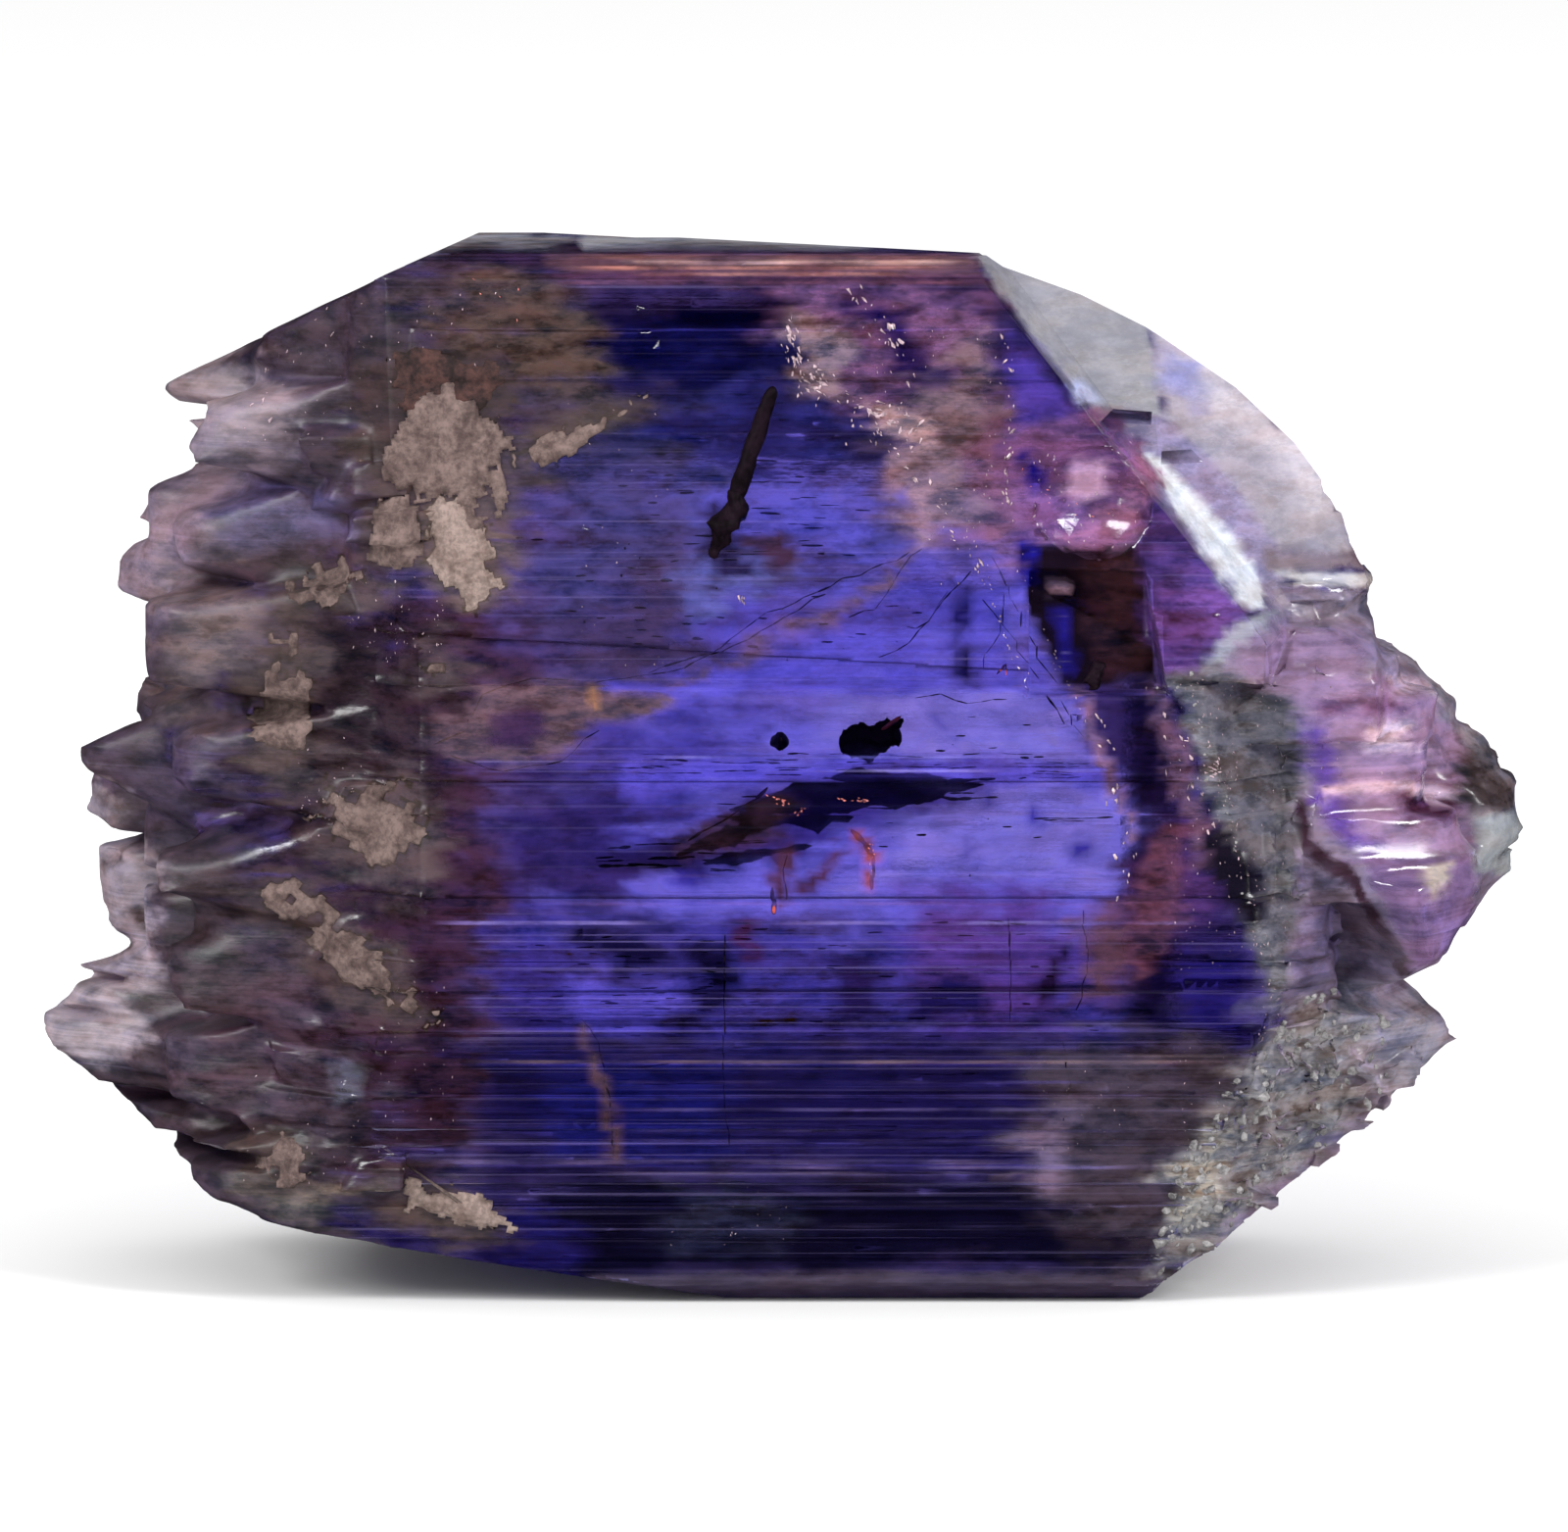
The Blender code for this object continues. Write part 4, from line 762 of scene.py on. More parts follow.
def new_material(name):
    """A material with its node tree, its shader and the place in millimetres."""
    material = bpy.data.materials.new(name)
    material.use_nodes = True
    tree = material.node_tree
    return material, tree, tree.nodes["Principled BSDF"], place_in_mm(tree)


def grain(tree, place, scale, detail=3.0, rough=0.6):
    """Noise with its cell size given as cells per mm along X, Y and Z."""
    source = vectors(tree, "MULTIPLY", place, scale)
    inputs = {"Vector": source, "Scale": 1.0, "Detail": detail, "Roughness": rough}
    return add(tree, "ShaderNodeTexNoise", inputs).outputs[0]


def tanzanite_material(settings):
    """Clear blue-violet zoisite: plain transmission and absorption, with grown-in patches of colour."""
    material, tree, shader, place = new_material("clear_tanzanite")
    tint = add(tree, "ShaderNodeAttribute", attribute_name="tint").outputs["Color"]
    finish = add(tree, "ShaderNodeAttribute", attribute_name="finish")
    parts = add(tree, "ShaderNodeSeparateColor", {0: finish.outputs["Color"]})
    clarity, roughness, mottling = parts.outputs

    # Growth streaks run along the prism; the mottling is the cloudiness of healed fractures
    streak = grain(tree, place, (0.10, 0.10, 9.0), 4.0, 0.7)
    cloud = grain(tree, place, (1.6, 2.0, 3.6), 6.0, 0.68)
    streak_share = maths(tree, "MULTIPLY", finish.outputs["Alpha"], clarity)
    streak_shade = maths(tree, "MULTIPLY", span(tree, streak, 0.36, 0.64, -0.45, 0.45), streak_share)
    cloud_shade = span(tree, cloud, 0.34, 0.66, -0.85, 0.85)
    cloud_shade = maths(tree, "MULTIPLY", cloud_shade, mottling)
    # Each growth zone leans now to rose, now to blue, and pale wisps of fracture run where it's milky
    warmth = grain(tree, place, (0.7, 0.9, 2.4), 6.0, 0.68)
    lean = maths(tree, "MULTIPLY", span(tree, warmth, 0.34, 0.66, -0.26, 0.26), mottling)
    off_wisp = maths(tree, "ABSOLUTE", maths(tree, "SUBTRACT", warmth, 0.5))
    milky = maths(tree, "SUBTRACT", 0.95, clarity)
    wisp = maths(tree, "MULTIPLY", span(tree, off_wisp, 0.0, 0.03, 0.8, 0.0), milky)
    wisp = maths(tree, "MULTIPLY", wisp, mottling)
    strength = maths(tree, "ADD", maths(tree, "ADD", streak_shade, cloud_shade), 1.0)
    strength = maths(tree, "ADD", maths(tree, "MAXIMUM", strength, 0.12), wisp)
    less_green = maths(tree, "MULTIPLY", maths(tree, "ABSOLUTE", lean), 0.3)
    shift = add(tree, "ShaderNodeCombineXYZ", {
        0: maths(tree, "ADD", strength, lean), 1: maths(tree, "SUBTRACT", strength, less_green),
        2: maths(tree, "SUBTRACT", strength, lean)})
    colour = vectors(tree, "MULTIPLY", tint, shift.outputs[0])
    # Fine pale lines of growth, many where the prism is streaked
    line = grain(tree, place, (0.05, 0.05, 15.0), 3.0, 0.6)
    line = maths(tree, "MULTIPLY", span(tree, line, 0.57, 0.68), finish.outputs["Alpha"])
    line = maths(tree, "MULTIPLY", line, span(tree, clarity, 0.42, 0.62))
    colour = vectors(tree, "ADD", colour, vectors(tree, "SCALE", PALE_LINE, line))
    colour = vectors(tree, "MAXIMUM", colour, (0.0, 0.0, 0.0))
    tree.links.new(colour, shader.inputs["Base Color"])
    tree.links.new(clarity, shader.inputs["Transmission Weight"])
    tree.links.new(roughness, shader.inputs["Roughness"])

    fine = grain(tree, place, (0.3, 1.0, 14.0), 3.0, 0.6)
    rough_height = maths(tree, "MULTIPLY", maths(tree, "MULTIPLY", cloud, mottling), 3.0)
    height = maths(tree, "ADD", maths(tree, "MULTIPLY", fine, finish.outputs["Alpha"]), rough_height)
    bump = add(tree, "ShaderNodeBump", {"Strength": 0.5, "Distance": 0.000012, "Height": height})
    tree.links.new(bump.outputs[0], shader.inputs["Normal"])
    shader.inputs["Metallic"].default_value = 0.0
    shader.inputs["IOR"].default_value = settings.ior
    output = tree.nodes["Material Output"]
    volume = add(
        tree, "ShaderNodeVolumeAbsorption",
        {"Color": (*settings.absorbed, 1.0), "Density": settings.density},
    )
    tree.links.new(volume.outputs[0], output.inputs["Volume"])
    return material


def inside_share(across, height, outline, soft, fray=0.0):
    """One inside an outline, nought outside it, with a soft rim that can fray."""
    inside = numpy.zeros(len(across), dtype=bool)
    nearest = numpy.full(len(across), 1e9)
    for (x0, z0), (x1, z1) in zip(outline, (*outline[1:], outline[0])):
        step_x, step_z = x1 - x0, z1 - z0
        along = ((across - x0) * step_x + (height - z0) * step_z) / (step_x ** 2 + step_z ** 2)
        along = numpy.clip(along, 0, 1)
        gap = numpy.hypot(across - x0 - along * step_x, height - z0 - along * step_z)
        nearest = numpy.minimum(nearest, gap)
        crosses = (z0 > height) != (z1 > height)
        inside ^= crosses & (across < step_x * (height - z0) / (step_z or 1e-9) + x0)
    share = numpy.clip(0.5 + numpy.where(inside, nearest, -nearest) / (2 * soft) + fray, 0, 1)
    return share * share * (3 - 2 * share)


def corners_of(mesh):
    """Each corner's place in mm, which way it faces, and how much that is towards the front."""
    count = len(mesh.vertices)
    spots, normals = numpy.empty(count * 3), numpy.empty(count * 3)
    mesh.vertices.foreach_get("co", spots)
    mesh.vertex_normals.foreach_get("vector", normals)
    normals = normals.reshape(count, 3)
    facing = numpy.clip((FRONT_UNTIL - normals[:, 1]) / FRONT_FADE, 0, 1)
    return spots.reshape(count, 3) / MM, normals, facing


def sunk_relief(mesh):
    """Sinks lumps, ripples and grain into the patches that have them."""
    spots, normals, facing = corners_of(mesh)
    across, height = seen_place(spots)
    outlines = {patch[0]: (patch[5], patch[8]) for patch in PATCHES}
    depth = numpy.zeros(len(spots))
    for name, deep, cells, steps in RELIEF:
        soft, outline = outlines[name]
        share = inside_share(across, height, outline, soft) * facing
        for index in numpy.flatnonzero(share > 0.01):
            spot = Vector(spots[index] * cells)
            lumps = 0.5 + 0.5 * noise.fractal(spot, 0.8, 2.1, steps)
            depth[index] = max(depth[index], share[index] * deep * max(0.0, lumps))
    depth[spots[:, 2] < 0.05] = 0
    spots -= normals * depth[:, None]
    mesh.vertices.foreach_set("co", (spots * MM).ravel())
    mesh.update()


def seen_place(spots):
    """Each corner's place on the broad face as the patches were laid out."""
    across = spots[:, 0] * (1 + FRONT_Y / SEEN_FROM) / (1 + spots[:, 1] / SEEN_FROM)
    return across, spots[:, 2] + LOOK_SLOPE * (spots[:, 1] - FRONT_Y)


def crust_stains():
    """A brown stain a little wider than each patch of matrix."""
    for _, finish, (x, z), half_size, degrees, _, _ in CRUST_PATCHES:
        turn = math.radians(degrees)
        wide, tall = (value + STAIN_ROOM for value in half_size)
        outline = []
        for step in range(STAIN_CORNERS):
            angle = math.tau * step / STAIN_CORNERS
            along, up = wide * math.cos(angle), tall * math.sin(angle)
            outline.append((x + along * math.cos(turn) - up * math.sin(turn),
                            z + along * math.sin(turn) + up * math.cos(turn)))
        yield "stain", "front", STAINS[finish], 0.35, 0.5, 0.3, 0.4, 0.5, outline


def paint_patches(mesh, settings):
    """Stores each corner's colour, clarity, roughness and mottling from the patches and growth lines."""
    spots, normals, facing = corners_of(mesh)
    across, height = seen_place(spots)
    # Growth runs along the prism, so rims wander and fray more along X than they do in height
    slow = [Vector(spot) for spot in spots * (0.7, 0.9, 1.7)]
    wobble = numpy.array([
        (noise.fractal(spot, 0.7, 2.1, 5), noise.fractal(spot + DRIFT, 0.7, 2.1, 5)) for spot in slow])
    fray = numpy.array([noise.fractal(Vector(spot) - DRIFT, 0.5, 2.2, 3) for spot in spots * (0.8, 0.8, 7.0)])
    breaks = numpy.array([noise.noise(Vector((x * 0.9, 0.0, z * 6.0))) for x, _, z in spots])
    facing[spots[:, 1] < 0.9 * FRONT_Y] = 1
    facing_up = numpy.maximum(facing, numpy.clip((normals[:, 2] - 0.4) / 0.2, 0, 1))
    near = numpy.clip((BEVEL_BACK - spots[:, 1]) / 0.4, 0, 1)
    sides = {"round": 1.0, "front": facing, "top": facing_up, "bevel": facing_up * near}

    values = numpy.empty((len(spots), 6))
    values[:] = (*settings.body, 0.9, 0.04, 0.5)
    values[:, :3] += (1 - facing)[:, None] * (numpy.array(settings.back) - values[:, :3])
    values[:, 4] += BACK_DULLER * (1 - facing)
    streaks = numpy.interp(height, *STREAKS)
    for patch in (*PATCHES, *crust_stains()):
        name, side, hex_code, clarity, roughness, soft, wander, mottling, outline = patch
        moved_x, moved_z = across + 1.3 * wander * wobble[:, 0], height + 0.8 * wander * wobble[:, 1]
        share = inside_share(moved_x, moved_z, outline, soft, FRAYING * fray)
        share = (share * sides[side])[:, None]
        deepen = numpy.interp(clarity, *CLEAR_DEEPENS)
        shown = [channel ** deepen for channel in linear(hex_code)]
        values += share * (numpy.array((*shown, clarity, roughness, mottling)) - values)
        if name.startswith("wedge"):
            streaks -= share[:, 0] * streaks
    for level, half_width, start, end, hex_code, strength in GROWTH_LINES:
        off = numpy.abs(spots[:, 2] - level) - half_width
        share = numpy.clip(1 - off / LINE_SLOPE, 0, 1) * numpy.clip((across - start) / 0.8, 0, 1)
        share *= numpy.clip((end - across) / 0.8, 0, 1) * numpy.clip(0.5 + 1.2 * breaks, 0.1, 1)
        share *= strength * facing
        values += share[:, None] * (numpy.array((*linear(hex_code), 0.45, 0.2, 0.3)) - values)

    for name, columns in (("tint", values[:, :3]), ("finish", values[:, 3:])):
        layer = mesh.color_attributes.new(name=name, type="FLOAT_COLOR", domain="POINT")
        layer.data.foreach_set("color", numpy.column_stack((columns, streaks)).ravel())


def add_piece(name, mesh, materials, replaces=()):
    """Puts a finished mesh in the scene as a piece of the crystal."""
    piece = bpy.data.objects.new(name, mesh)
    bpy.context.scene.collection.objects.link(piece)
    for material in materials:
        mesh.materials.append(material)
    if replaces:
        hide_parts(*replaces)
    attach(piece, "root")
    return piece


def cut_across(shape, axis, place, faces=None):
    """Cuts the whole shape, or the faces given, with one level or upright plane, and keeps both sides."""
    point = Vector((0, 0, 0))
    point[axis] = place
    outward = Vector((0, 0, 0))
    outward[axis] = 1
    if faces is None:
        cut = shape.verts[:] + shape.edges[:] + shape.faces[:]
    else:
        cut = list({vert for face in faces for vert in face.verts})
        cut += list({edge for face in faces for edge in face.edges}) + faces
    bmesh.ops.bisect_plane(shape, geom=cut, dist=1e-8, plane_co=point, plane_no=outward)


def strip_heights(settings, chance, low, high):
    """Heights between the growth strips, in uneven steps."""
    heights = []
    height = low + settings.lowest
    while height < high - settings.lowest:
        heights.append(height)
        share = chance.random() ** 2
        height += settings.lowest + share * (settings.tallest - settings.lowest)
    rims = []
    for level, half_width, *_ in GROWTH_LINES:
        for offset in (-half_width - LINE_SLOPE, -half_width, half_width, half_width + LINE_SLOPE):
            rims.append((level + offset) * MM)
    clear = [height for height in heights if min(abs(height - rim) for rim in rims) > 0.5 * settings.lowest]
    return sorted(clear + rims)


def strip_depth(settings, place):
    """How deep the strips are at a place: strong low and high on the prism, faint on the broad face."""
    height = place.z / MM
    if place.x / MM > WEDGE_FROM[0] and height > WEDGE_FROM[1]:
        return 0.0
    low = max(0.0, min(1.0, (6.6 - height) / 1.0))
    high = max(0.0, min(1.0, (height - 15.2) / 0.5))
    share = max(low, high, 0.6 if abs(place.x / MM + 1.5) > 5.5 else 0.0)
    return settings.window_depth + share * (settings.lower_depth - settings.window_depth)


def etched_share(place):
    """One on the etched left end and the broken right end, nought on the prism between them."""
    x, z = place.x / MM, place.z / MM
    left = max(0.0, min(1.0, (-5.8 - x) / 1.2))
    right = max(0.0, min(1.0, (x - 6.6) / 0.8)) if z < 5.2 else max(0.0, min(1.0, (x - 6.2) / 0.6)) * 0.35
    if z > 10.6 and x > 0:
        right = 0.0
    return max(left, right)


def round_ends(shape):
    """Softens the etched points, most at their tips, and wears the thin spikes down."""
    for x, z, reach, passes in WORN_SPIKES:
        verts = []
        for vert in shape.verts:
            across, height = seen_place(numpy.array([vert.co / MM]))
            if math.hypot(across[0] - x, height[0] - z) < reach:
                verts.append(vert)
        for _ in range(passes):
            bmesh.ops.smooth_vert(
                shape, verts=verts, factor=0.5, use_axis_x=True, use_axis_y=True, use_axis_z=True)
    for limit, side, passes in END_ROUNDING:
        verts = [vert for vert in shape.verts if side * vert.co.x > limit * MM and vert.co.z > 0.2 * MM]
        for _ in range(passes):
            bmesh.ops.smooth_vert(
                shape, verts=verts, factor=0.5, use_axis_x=True, use_axis_y=True, use_axis_z=True)


def striated_crystal(settings):
    """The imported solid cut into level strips, each a little prouder or deeper than the next."""
    chance = random.Random(settings.seed)
    shape = bmesh.new()
    shape.from_mesh(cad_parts[CRYSTAL_NODE].data)
    bmesh.ops.remove_doubles(shape, verts=shape.verts, dist=5e-7)
    low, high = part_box(CRYSTAL_NODE)
    across = low.x + settings.end_step
    column = 0
    while across < high.x - settings.end_step:
        seen = [face for face in shape.faces if face.normal.y < 0.35]
        cut_across(shape, 0, across, seen if column % 3 else None)
        across += settings.end_step
        column += 1
    heights = strip_heights(settings, chance, low.z, high.z)
    for height in heights:
        cut_across(shape, 2, height)
    bmesh.ops.triangulate(shape, faces=shape.faces)
    levels = [chance.random() for _ in heights] + [0.5]
    shape.normal_update()
    moved = []
    for vert in shape.verts:
        place = vert.co
        index = bisect.bisect_left(heights, place.z - 1e-7)
        slow = 0.5 + 0.5 * noise.noise(Vector((place.x / MM * 0.35, 3.7, index * 1.7)))
        depth = strip_depth(settings, place) * levels[min(index, len(levels) - 1)] * (0.4 + slow)
        etch = etched_share(place)
        if etch > 0:
            spot = Vector((place.x / MM * 1.1, place.y / MM * 1.6, place.z / MM * 3.2))
            depth += etch * settings.etch_depth * abs(noise.fractal(spot, 0.7, 2.2, 4))
        if place.z < low.z + 0.02 * MM:
            depth = 0.0
        moved.append(place - vert.normal * depth)
    for vert, place in zip(shape.verts, moved):
        vert.co = place
    round_ends(shape)
    mesh = bpy.data.meshes.new("tanzanite_body")
    shape.to_mesh(mesh)
    shape.free()
    return mesh


def shade_softly(mesh):
    """Shades the crystal softly between its sharp edges, and keeps the clear wedge's facets flat."""
    mesh.set_sharp_from_angle(angle=SHARP_FROM)
    facets = [Vector(normal).normalized() for normal in WEDGE_FACETS]
    for face in mesh.polygons:
        place = face.center / MM
        on_wedge = place.x > WEDGE_FROM[0] and place.z > WEDGE_FROM[1]
        if on_wedge and any(face.normal.dot(facet) > FACET_LIKE for facet in facets):
            face.use_smooth = False


def crystal_surface():
    """The finished crystal's surface, for pieces that lie on it or in it."""
    crystal = bpy.data.objects["tanzanite_body"]
    corners = [vert.co for vert in crystal.data.vertices]
    return BVHTree.FromPolygons(corners, [tuple(face.vertices) for face in crystal.data.polygons])


class TANZANITE_OT_body(bpy.types.Operator):
    """Make the clear striated crystal in place of its plain solid"""

    bl_idname = "tanzanite.body"
    bl_label = "Crystal Body"

    def execute(self, context):
        scene = context.scene
        mesh = striated_crystal(scene.tanzanite_strips)
        shade_softly(mesh)
        sunk_relief(mesh)
        paint_patches(mesh, scene.tanzanite_body)
        clear = tanzanite_material(scene.tanzanite_body)
        add_piece("tanzanite_body", mesh, [clear], (CRYSTAL_NODE,))
        return {"FINISHED"}


def ragged_plate(shape, half_size, step, ragged, seed):
    """A flat plate in X and Z cut to a ragged outline, returned as its new vertices."""
    wide, tall = (value * MM for value in half_size)
    columns = max(4, round(2 * PLATE_ROOM * wide / (step * MM)))
    rows = max(4, round(2 * PLATE_ROOM * tall / (step * MM)))
    plate = Vector((PLATE_ROOM * wide, PLATE_ROOM * tall, 1))
    stand_up = Matrix.LocRotScale(None, Euler((math.pi / 2, 0, 0)), plate)
    made = bmesh.ops.create_grid(shape, x_segments=columns, y_segments=rows, size=1.0, matrix=stand_up)
    outside = []
    for vert in made["verts"]:
        across, up = vert.co.x / wide, vert.co.z / tall
        spot = Vector((vert.co.x / MM, seed * 7.3, vert.co.z / MM))
        coarse = noise.noise(spot * 1.3)
        fine = noise.fractal(spot * 3.6, 0.6, 2.0, 5)
        if math.hypot(across, up) + ragged * (0.8 * coarse + 0.8 * fine) > 0.84:
            outside.append(vert)
    kept = [vert for vert in made["verts"] if vert not in set(outside)]
    bmesh.ops.delete(shape, geom=outside, context="VERTS")
    return [vert for vert in kept if vert.is_valid]


def drop_loose(shape):
    loose = [vert for vert in shape.verts if not vert.link_faces]
    bmesh.ops.delete(shape, geom=loose, context="VERTS")


def crust_mesh(name, middle, half_size, turn, ragged, seed, thickness, surface):
    """A thin lumpy sheet of matrix lying on the crystal's front, sunk a little into it."""
    shape = bmesh.new()
    ragged_plate(shape, half_size, CRUST_STEP, ragged, seed)
    drop_loose(shape)
    place = Matrix.Translation(Vector((middle[0], 0, middle[1])) * MM) @ Matrix.Rotation(-turn, 4, "Y")
    bmesh.ops.transform(shape, matrix=place, verts=shape.verts)
    missed = []
    for vert in shape.verts:
        start = Vector((vert.co.x, -0.02, vert.co.z))
        hit, _, _, _ = surface.ray_cast(start, Vector((0, 1, 0)))
        if hit is None:
            missed.append(vert)
            continue
        spot = vert.co / MM
        lumps = 0.5 + 0.5 * noise.fractal(spot * 1.3 + Vector((0, seed, 0)), 0.8, 2.1, 4)
        near = [edge.other_vert(vert) for edge in vert.link_edges]
        rim = 1.0 - sum(edge.is_boundary for other in near for edge in other.link_edges) / 8
        rim = 0.0 if any(edge.is_boundary for edge in vert.link_edges) else max(0.0, rim)
        vert.co.y = hit.y - thickness * rim * (0.2 + lumps) + 0.01 * MM
    bmesh.ops.delete(shape, geom=missed, context="VERTS")
    drop_loose(shape)
    shape.normal_update()
    bmesh.ops.recalc_face_normals(shape, faces=shape.faces)
    bmesh.ops.solidify(shape, geom=shape.faces[:], thickness=0.05 * MM)
    bmesh.ops.recalc_face_normals(shape, faces=shape.faces)
    mesh = bpy.data.meshes.new(name)
    shape.to_mesh(mesh)
    shape.free()
    for face in mesh.polygons:
        face.use_smooth = True
    return mesh


def crust_material(name, pale, dark):
    """Dry mineral matrix: dull, mottled and powdery."""
    material, tree, shader, place = new_material(name)
    mottle = grain(tree, place, (3.0, 3.0, 3.0), 8.0, 0.7)
    pits = grain(tree, place, (11.0, 11.0, 11.0), 4.0, 0.6)
    share = span(tree, mottle, 0.34, 0.64)
    colour = blend_colour(tree, share, (*linear(dark), 1.0), (*linear(pale), 1.0))
    shade = span(tree, pits, 0.35, 0.6, 0.72, 1.12)
    colour = vectors(tree, "SCALE", colour, shade)
    tree.links.new(colour, shader.inputs["Base Color"])
    bump = add(tree, "ShaderNodeBump", {"Strength": 0.6, "Distance": 0.00002, "Height": pits})
    tree.links.new(bump.outputs[0], shader.inputs["Normal"])
    shader.inputs["Roughness"].default_value = 0.85
    return material


class TANZANITE_OT_crust(bpy.types.Operator):
    """Lay the thin patches of tan matrix on the left of the crystal"""

    bl_idname = "tanzanite.crust"
    bl_label = "Crust"

    def execute(self, context):
        settings = context.scene.tanzanite_crust
        surface = crystal_surface()
        finishes = {
            "tan": crust_material("tan_matrix", "786460", "4C3A38"),
            "pale": crust_material("pale_matrix", "94817A", "68554F"),
            "rust": crust_material("rusty_matrix", "4E302C", "241416"),
        }
        for name, finish, middle, half_size, degrees, ragged, seed in CRUST_PATCHES:
            mesh = crust_mesh(
                name, middle, half_size, math.radians(degrees), ragged, seed, settings.thickness, surface)
            add_piece(name, mesh, [finishes[finish]])
        return {"FINISHED"}


def stone_lump(shape, start, end, radius, rough, seed, ends=0.5, fineness=4):
    """A rounded lump drawn out from one point to another, thinned to its ends and gnawed all over."""
    start, end = Vector(start) * MM, Vector(end) * MM
    along = end - start
    size = Vector((radius * MM, radius * MM, along.length / 2 + radius * MM))
    place = Matrix.LocRotScale((start + end) / 2, along.to_track_quat("Z", "Y"), size)
    middle_line = along.normalized()
    made = bmesh.ops.create_icosphere(shape, subdivisions=fineness, radius=1.0)["verts"]
    for vert in made:
        # A blunt rod, so the middle keeps its full width
        width = math.hypot(vert.co.x, vert.co.y)
        full = max(0.0, 1 - abs(vert.co.z) ** 6.0) ** 0.5 / max(width, 0.05)
        narrow = (1 - ends * abs(vert.co.z) ** 1.5) * min(full, 3.0)
        vert.co.x *= narrow
        vert.co.y *= narrow
    bmesh.ops.transform(shape, matrix=place, verts=made)
    for vert in made:
        spoke = vert.co - (start + end) / 2
        spoke -= middle_line * spoke.dot(middle_line)
        spot = vert.co / MM * 2.6 + Vector((seed * 3.1, 0, 0))
        vert.co += spoke * rough * (noise.fractal(spot, 0.7, 2.1, 4) + 0.6 * noise.noise(spot * 0.5))


def finished(shape, name, smooth=True):
    mesh = bpy.data.meshes.new(name)
    shape.to_mesh(mesh)
    shape.free()
    for face in mesh.polygons:
        face.use_smooth = smooth
    return mesh


def inclusion_material(name, hex_code, roughness, cells=4.0, sheen=0.5):
    """Ore grains and fractures shut in the crystal, and flakes painted as glints, with a sheen and uneven
    colour.
    """
    material, tree, shader, place = new_material(name)
    mottle = grain(tree, place, (cells, cells, cells), 5.0, 0.7)
    shade = span(tree, mottle, 0.3, 0.7, 0.35, 1.6)
    tree.links.new(vectors(tree, "SCALE", linear(hex_code), shade), shader.inputs["Base Color"])
    shader.inputs["Roughness"].default_value = roughness
    shader.inputs["Specular IOR Level"].default_value = sheen
    return material


def front_place(surface, x, z):
    """Where the crystal's front is at this X and height in mm, and which way it faces."""
    return surface.ray_cast(Vector((x * MM, RAY_FROM * MM, z * MM)), Vector((0, 1, 0)))[:2]


def flakes(shape, low, high, count, size, chance, surface, lean=0.0):
    """Small angular plates over the crystal's front, half sunk in it and drawn out up a leaning line."""
    for _ in range(count):
        hit, outward = front_place(surface, chance.uniform(low[0], high[0]), chance.uniform(low[1], high[1]))
        if hit is None:
            continue
        width = size * MM * chance.uniform(0.3, 1.4)
        tilt = Euler((chance.gauss(0, 0.4), chance.gauss(0, 0.4), chance.gauss(0, 0.3) - lean))
        tilt = outward.to_track_quat("Z", "Y") @ tilt.to_quaternion()
        scale = Vector((width * chance.uniform(0.12, 0.45), width, width * 0.3))
        bmesh.ops.create_cone(
            shape, cap_ends=True, cap_tris=False, segments=chance.choice((3, 4, 5)), radius1=1.0, radius2=0.5,
            depth=1.0, matrix=Matrix.LocRotScale(hit, tilt, scale))


def glint_line(shape, corners, density, size, spread, chance, surface):
    """Flakes strewn along a line, thickly in some places and thinly in others."""
    for (x, z), (next_x, next_z) in zip(corners, corners[1:]):
        count = round(density * math.hypot(next_x - x, next_z - z))
        lean = math.atan2(next_x - x, next_z - z)
        for _ in range(count):
            share = chance.random()
            if noise.noise(Vector((x + share, z, share * 5.0))) < chance.uniform(-0.5, 0.3):
                continue
            middle = (x + share * (next_x - x) + chance.gauss(0, spread),
                      z + share * (next_z - z) + chance.gauss(0, spread))
            flakes(shape, middle, middle, 1, size, chance, surface, lean)


def thread(shape, corners, radius, sunk, chance, surface, jitter=THREAD_JITTER):
    """An uneven thread along a broken line, this far under the crystal's front."""
    points = []
    for (x, z), (next_x, next_z) in zip(corners, corners[1:]):
        steps = max(1, round(math.hypot(next_x - x, next_z - z) / THREAD_STEP))
        for step in range(steps):
            points.append((x + (next_x - x) * step / steps + chance.gauss(0, jitter),
                           z + (next_z - z) * step / steps + chance.gauss(0, jitter)))
    points.append(corners[-1])
    hits = [front_place(surface, x, z)[0] for x, z in points]
    placed = [hit / MM + Vector((0, sunk, 0)) for hit in hits if hit is not None]
    for start, end in zip(placed, placed[1:]):
        if (end - start).length < 3 * THREAD_STEP:
            stone_lump(shape, start, end, radius * chance.uniform(0.5, 1.3), 0.6, chance.random() * 9, 0.3, 2)


def needles(shape, low, high, count, length, radius, chance, surface):
    """Short streaks along the growth, close under the crystal's front."""
    for _ in range(count):
        x, z = chance.uniform(low[0], high[0]), chance.uniform(low[1], high[1])
        half = length * chance.uniform(0.2, 0.6)
        line = ((x - half, z), (x + half, z + chance.gauss(0, 0.03) * length))
        thick = radius * chance.uniform(0.6, 1.4)
        thread(shape, line, thick, NEEDLE_SUNK, chance, surface, 0.2 * THREAD_JITTER)


